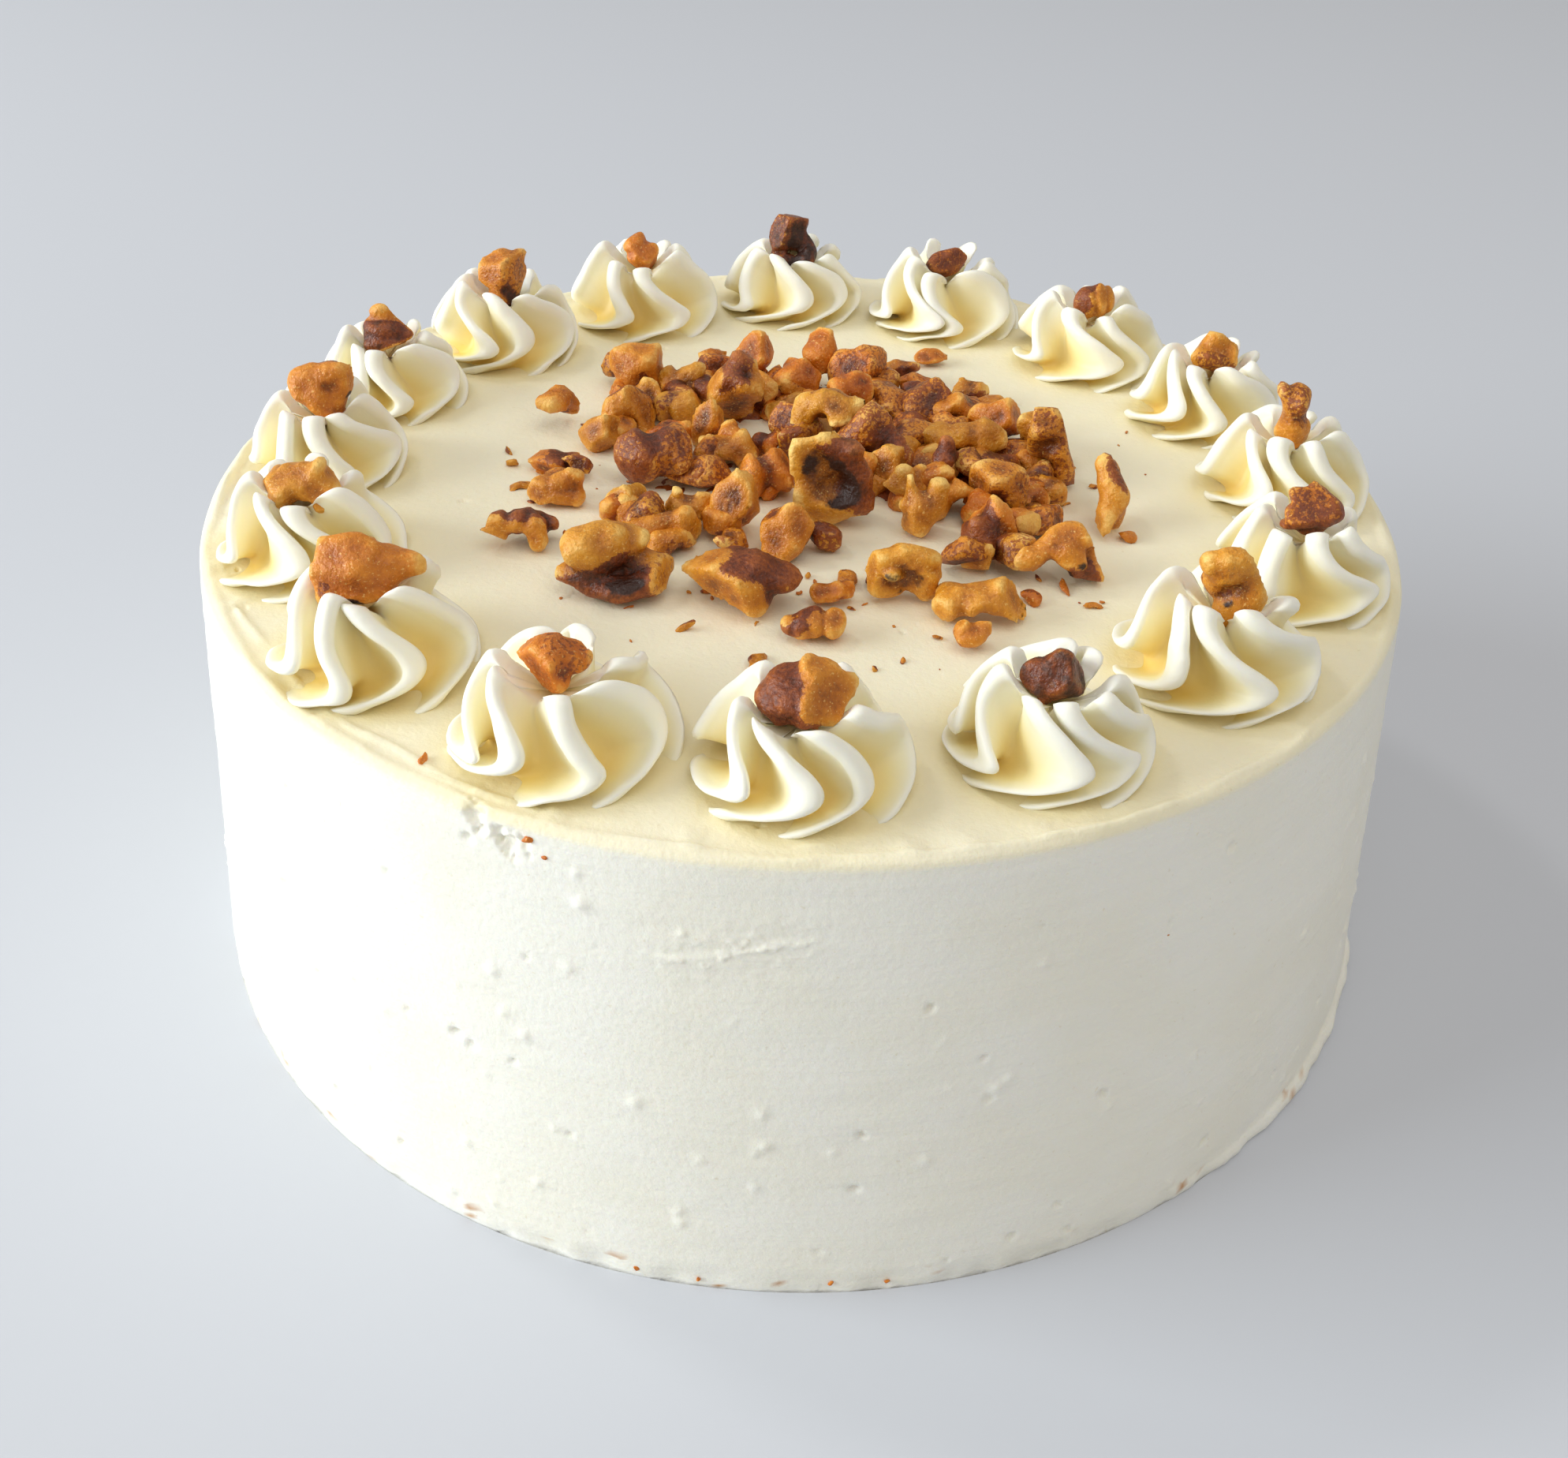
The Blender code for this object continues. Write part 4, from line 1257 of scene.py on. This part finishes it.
def walnut_heap(finish):
    """The chopped walnuts in the middle: pieces of many shapes, piled on a low rough core."""
    golden, dark = Gathered(), Gathered()
    for number, row in enumerate(HEAP_PIECES):
        shape, x, y, lift, length, depth, height, heading, tilt, *toast = row
        sizes = np.array((length, depth, height)) * HEAP_GROWTH * MM
        points, faces, marks = fragment(shape, sizes, 1100 + 10 * number, PIECE_CELLS)
        points = fitted(points, -sizes / 2, sizes / 2)
        points = turned(points, (0, -tilt, heading))
        points -= (points.max(0) + points.min(0)) / 2
        points += (x * MM, y * MM, 0)
        points[:, 2] += CAKE_TOP - points[:, 2].min() + lift * MM - 0.2 * MM
        kind = dark if toast[1] > SKINNED else golden
        kind.add(points, faces, **toasted(marks, *toast))
    chance = np.random.default_rng(88)
    for number in range(FILLERS):
        _, x, y, *_ = HEAP_PIECES[int(chance.integers(len(HEAP_PIECES)))]
        x, y = x + chance.normal(0, 5), y + chance.normal(0, 5)
        sizes = chance.uniform(5.5, 9.5) * np.array((1, 0.75, 0.65)) * MM
        points, faces, marks = fragment(chance.choice(FILLER_SHAPES), sizes, 3000 + number, FILLER_CELLS)
        points = fitted(points, -sizes / 2, sizes / 2)
        points = turned(points, (*chance.uniform(-30, 30, 2), chance.uniform(0, 360)))
        points += (x * MM, y * MM, CAKE_TOP - points[:, 2].min() + chance.uniform(-1, 1.5) * MM)
        toast = chance.random(), chance.choice((0.1, 0.4, 0.9)), chance.choice((0, 0.3))
        kind = dark if toast[1] > SKINNED else golden
        kind.add(points, faces, **toasted(marks, *toast))
    golden.piece("heap_walnuts_golden", finish, "walnut", ["walnut_heap"])
    dark.piece("heap_walnuts_dark", finish, "walnut")
    heap_core_and_gap_shade(finish)


def closed_sheet(points, faces, floor):
    """A sheet of four-sided faces made solid: an underside at this height, and walls along its border."""
    count = len(points)
    under = points * (1, 1, 0) + (0, 0, floor)
    faces = [tuple(map(int, face)) for face in faces]
    edges = {(face[k], face[(k + 1) % 4]) for face in faces for k in range(4)}
    walls = [(b, a, a + count, b + count) for a, b in sorted(edges) if (b, a) not in edges]
    below = [tuple(i + count for i in reversed(face)) for face in faces]
    return np.concatenate([points, under]), faces + below + walls


def heap_core_and_gap_shade(finish):
    """Finely chopped walnut that fills the gaps where the pieces lie close together; its dark colour is partly painted
    shade in those gaps.
    """
    low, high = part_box("walnut_heap")
    across = np.arange(low.x - 6 * MM, high.x + 6 * MM, CORE_STEP)
    back = np.arange(low.y - 6 * MM, high.y + 6 * MM, CORE_STEP)
    x, y = np.meshgrid(across, back, indexing="ij")
    crowding = np.zeros_like(x)
    for _, px, py, _, length, depth, *_ in HEAP_PIECES:
        reach = (length + depth) / 4 * MM
        crowding += np.exp(-(((x - px * MM) ** 2 + (y - py * MM) ** 2) / (1.25 * reach) ** 2))
    place = np.stack([x, y, 0 * x], -1)
    rough = layered_noise(place, 3.2 * MM, 31, 3)
    height = CORE_HEIGHT * ease(crowding, 1.0, 2.6) * (1 + 0.4 * rough) + 1.3 * MM * rough - 0.3 * MM
    height = np.where(crowding > 1.0, height, -MM)
    shown = height > 0
    number = np.full(x.shape, -1)
    faces = []
    used = np.zeros(x.shape, bool)
    cells = shown[:-1, :-1] | shown[1:, :-1] | shown[:-1, 1:] | shown[1:, 1:]
    for i, j in np.argwhere(cells):
        used[i : i + 2, j : j + 2] = True
    number[used] = np.arange(used.sum())
    for i, j in np.argwhere(cells):
        faces.append((number[i, j], number[i + 1, j], number[i + 1, j + 1], number[i, j + 1]))
    points = np.stack([x[used], y[used], CAKE_TOP + np.maximum(height[used], -0.2 * MM)], -1)
    rough = np.tile(rough[used], 2)
    points, faces = closed_sheet(points, faces, CAKE_TOP - 0.6 * MM)
    skin = 0.5 + 0.5 * rough
    add_piece(
        "heap_core_and_gap_shade",
        points,
        faces,
        finish,
        "walnut",
        # Painted shade in the core's low places and painted light on its high ones.
        skin=ease(skin, 0.3, 0.7),
        hollow=0.9 * ease(-rough, -0.3, 0.3),
        ridge=np.clip(0.45 + 0.6 * rough, 0, 1),
        tone=0.5 + 0 * skin,
    )


# Loose flakes and crumbs round the heap: x, y, length (millimetres), and heading.
FLAKES = (
    (-5.9, -58, 5.0, 70),
    (-17.5, -49, 3.0, 20),
    (12, -58.5, 1.6, 0),
    (48, -38, 2.2, 10),
    (47, -24, 2.0, 60),
    (17.5, 53.8, 4.0, 0),
    (44, -33, 3.5, 100),
    (38, -37, 4.5, 30),
    (12, -32, 5.0, 70),
    (14, -28, 4.0, 10),
    (8, -33, 5.5, 150),
    (-13, -34, 6.0, 170),
    (-14, -37, 5.0, 20),
    (57, -15, 4.5, 70),
    (-51.8, -85.9, 2.8, 80),
    (-53.5, 4.5, 4.0, 160),
    (-55, 10, 2.0, 120),
    (-51, -4, 3.0, 20),
    (-35, -20, 6.0, 10),
    (-39, -22, 5.0, 170),
)


# Crumbs caught in the wall: azimuth (degrees), distance below the top, and length (millimetres).
WALL_CRUMBS = (
    (-19.6, 2.2, 2.0),
    (-18.2, 4.4, 1.0),
    (-11.0, 79.2, 1.6),
    (-6.0, 79.6, 1.3),
    (4.5, 79.0, 1.4),
    (9.0, 79.4, 1.0),
    (31.0, 22.0, 0.9),
)


def crumbs(finish):
    """Flakes of skin and small crumbs, joined into one piece."""
    chance = np.random.default_rng(55)
    gathered = Gathered()
    rows = list(FLAKES)
    for _ in range(90):
        angle, apart = chance.uniform(0, 2 * math.pi), chance.normal(44, 7)
        x, y = 4 + apart * math.cos(angle) * 1.08, 2 + apart * math.sin(angle)
        rows.append((x, y - 4, chance.uniform(0.5, 1.9), chance.uniform(0, 180)))
    for number, (x, y, length, heading) in enumerate(rows):
        sizes = np.array((length, length * chance.uniform(0.4, 0.7), length * chance.uniform(0.2, 0.45))) * MM
        shape = chance.choice(("triangle", "horned", "flake", "bean"))
        points, faces, marks = fragment(shape, sizes * 1.4, 4000 + number, 12 if length > 2 else 6)
        points = turned(points, (chance.uniform(-15, 15), chance.uniform(-15, 15), heading))
        points += (x * MM, y * MM, CAKE_TOP - points[:, 2].min() - 0.15 * MM)
        marks = toasted(marks, chance.random(), chance.choice((0.1, 0.4, 0.7)), 0.0)
        # Crumbs get no painted ridge light here, only a faint random tone.
        marks["ridge"] = 0.45 + 0.2 * noise(points, 1.1 * MM, 61)
        gathered.add(points, faces, **marks)
    for number, (azimuth, down, length) in enumerate(WALL_CRUMBS):
        share = 1 - down * MM / CAKE_TOP
        radius = WALL_FOOT_RADIUS + (TOP_RADIUS - WALL_FOOT_RADIUS) * share
        angle = math.radians(azimuth)
        sizes = length * np.array((1, 0.7, 0.6)) * MM
        points, faces, marks = fragment("lump", sizes, 5000 + number, FEWEST_CELLS)
        points = turned(points, (20, 35 * number, azimuth))
        points += (radius * math.sin(angle), -radius * math.cos(angle), CAKE_TOP - down * MM)
        marks = toasted(marks, 0.9, 0.0, 0.0)
        # The crumbs in the wall likewise get only a faint random tone, no painted ridge light.
        marks["ridge"] = 0.5 + 0.2 * noise(points, 1.1 * MM, 62)
        gathered.add(points, faces, **marks)
    gathered.piece("walnut_crumbs", finish, "walnut")


# ---------------------------------------------------------------- stage, light and camera


def stage():
    """A plain pale floor and soft light from a window on the left."""
    size = 6.0
    mesh = bpy.data.meshes.new("floor")
    corners = [(-size, -size, 0), (size, -size, 0), (size, size, 0), (-size, size, 0)]
    mesh.from_pydata(corners, [], [(0, 1, 2, 3)])
    pale = Finish("floor", Roughness=0.6, Specular_IOR_Level=0.3)
    pale.colour(linear(205, 208, 216))
    mesh.materials.append(pale.material)
    floor = bpy.data.objects.new("floor", mesh)
    bpy.context.scene.collection.objects.link(floor)

    world = bpy.data.worlds.new("room")
    bpy.context.scene.world = world
    world.use_nodes = True
    background = world.node_tree.nodes["Background"]
    background.inputs["Color"].default_value = (1.0, 0.97, 0.91, 1)
    background.inputs["Strength"].default_value = 0.43

    add_light("window", (-2.1, -0.35, 0.75), (1.6, 1.2), 54, (0.91, 0.98, 1.0))
    add_light("lamp", (-0.8, 0.5, 1.3), (0.16, 0.16), 2.2, (1.0, 0.99, 0.97))
    add_light("ceiling", (0.4, -0.6, 2.2), (2.0, 2.0), 14, (1.0, 0.99, 0.96))
    bpy.context.scene.view_settings.view_transform = "Standard"


def add_light(name, place, sizes, power, colour):
    """A rectangular light that faces the cake."""
    light = bpy.data.lights.new(name, "AREA")
    light.shape = "RECTANGLE"
    light.size, light.size_y = sizes
    light.energy = power
    light.color = colour
    lamp = bpy.data.objects.new(name, light)
    lamp.location = place
    aim = Vector((0, 0, 0.06)) - Vector(place)
    lamp.rotation_mode = "QUATERNION"
    lamp.rotation_quaternion = aim.to_track_quat("-Z", "Y")
    bpy.context.scene.collection.objects.link(lamp)


CAMERA_PLACE = (0.0, -0.27012, 0.22314)
CAMERA_PITCH = 0.6289  # down from level, in radians, as are the next two
CAMERA_YAW = -0.0073
CAMERA_ROLL = 0.0317
CAMERA_LENS = 38.16


def camera():
    """The camera, in front of the cake and looking down at it."""
    pitch, yaw = CAMERA_PITCH, CAMERA_YAW
    ahead = Vector((math.sin(yaw) * math.cos(pitch), math.cos(yaw) * math.cos(pitch), -math.sin(pitch)))
    level = ahead.cross(Vector((0, 0, 1))).normalized()
    upright = level.cross(ahead)
    right = level * math.cos(CAMERA_ROLL) + upright * math.sin(CAMERA_ROLL)
    up = upright * math.cos(CAMERA_ROLL) - level * math.sin(CAMERA_ROLL)
    data = bpy.data.cameras.new("camera")
    data.sensor_width = 36
    data.lens = CAMERA_LENS
    data.clip_start = 0.01
    made = bpy.data.objects.new("camera", data)
    turn = Matrix((right, up, -ahead)).transposed().to_4x4()
    made.matrix_world = Matrix.Translation(CAMERA_PLACE) @ turn
    bpy.context.scene.collection.objects.link(made)
    bpy.context.scene.camera = made


def main():
    stage()
    camera()
    iced_cake(icing_finish())
    piped = piped_finish()
    for number in range(1, 17):
        rosette(f"rosette_{number:02d}", f"walnut_piece_{number:02d}", 20 + number, piped)
    walnut = walnut_finish()
    walnuts(walnut)
    walnut_heap(walnut)
    crumbs(walnut)


main()
bpy.context.view_layer.update()
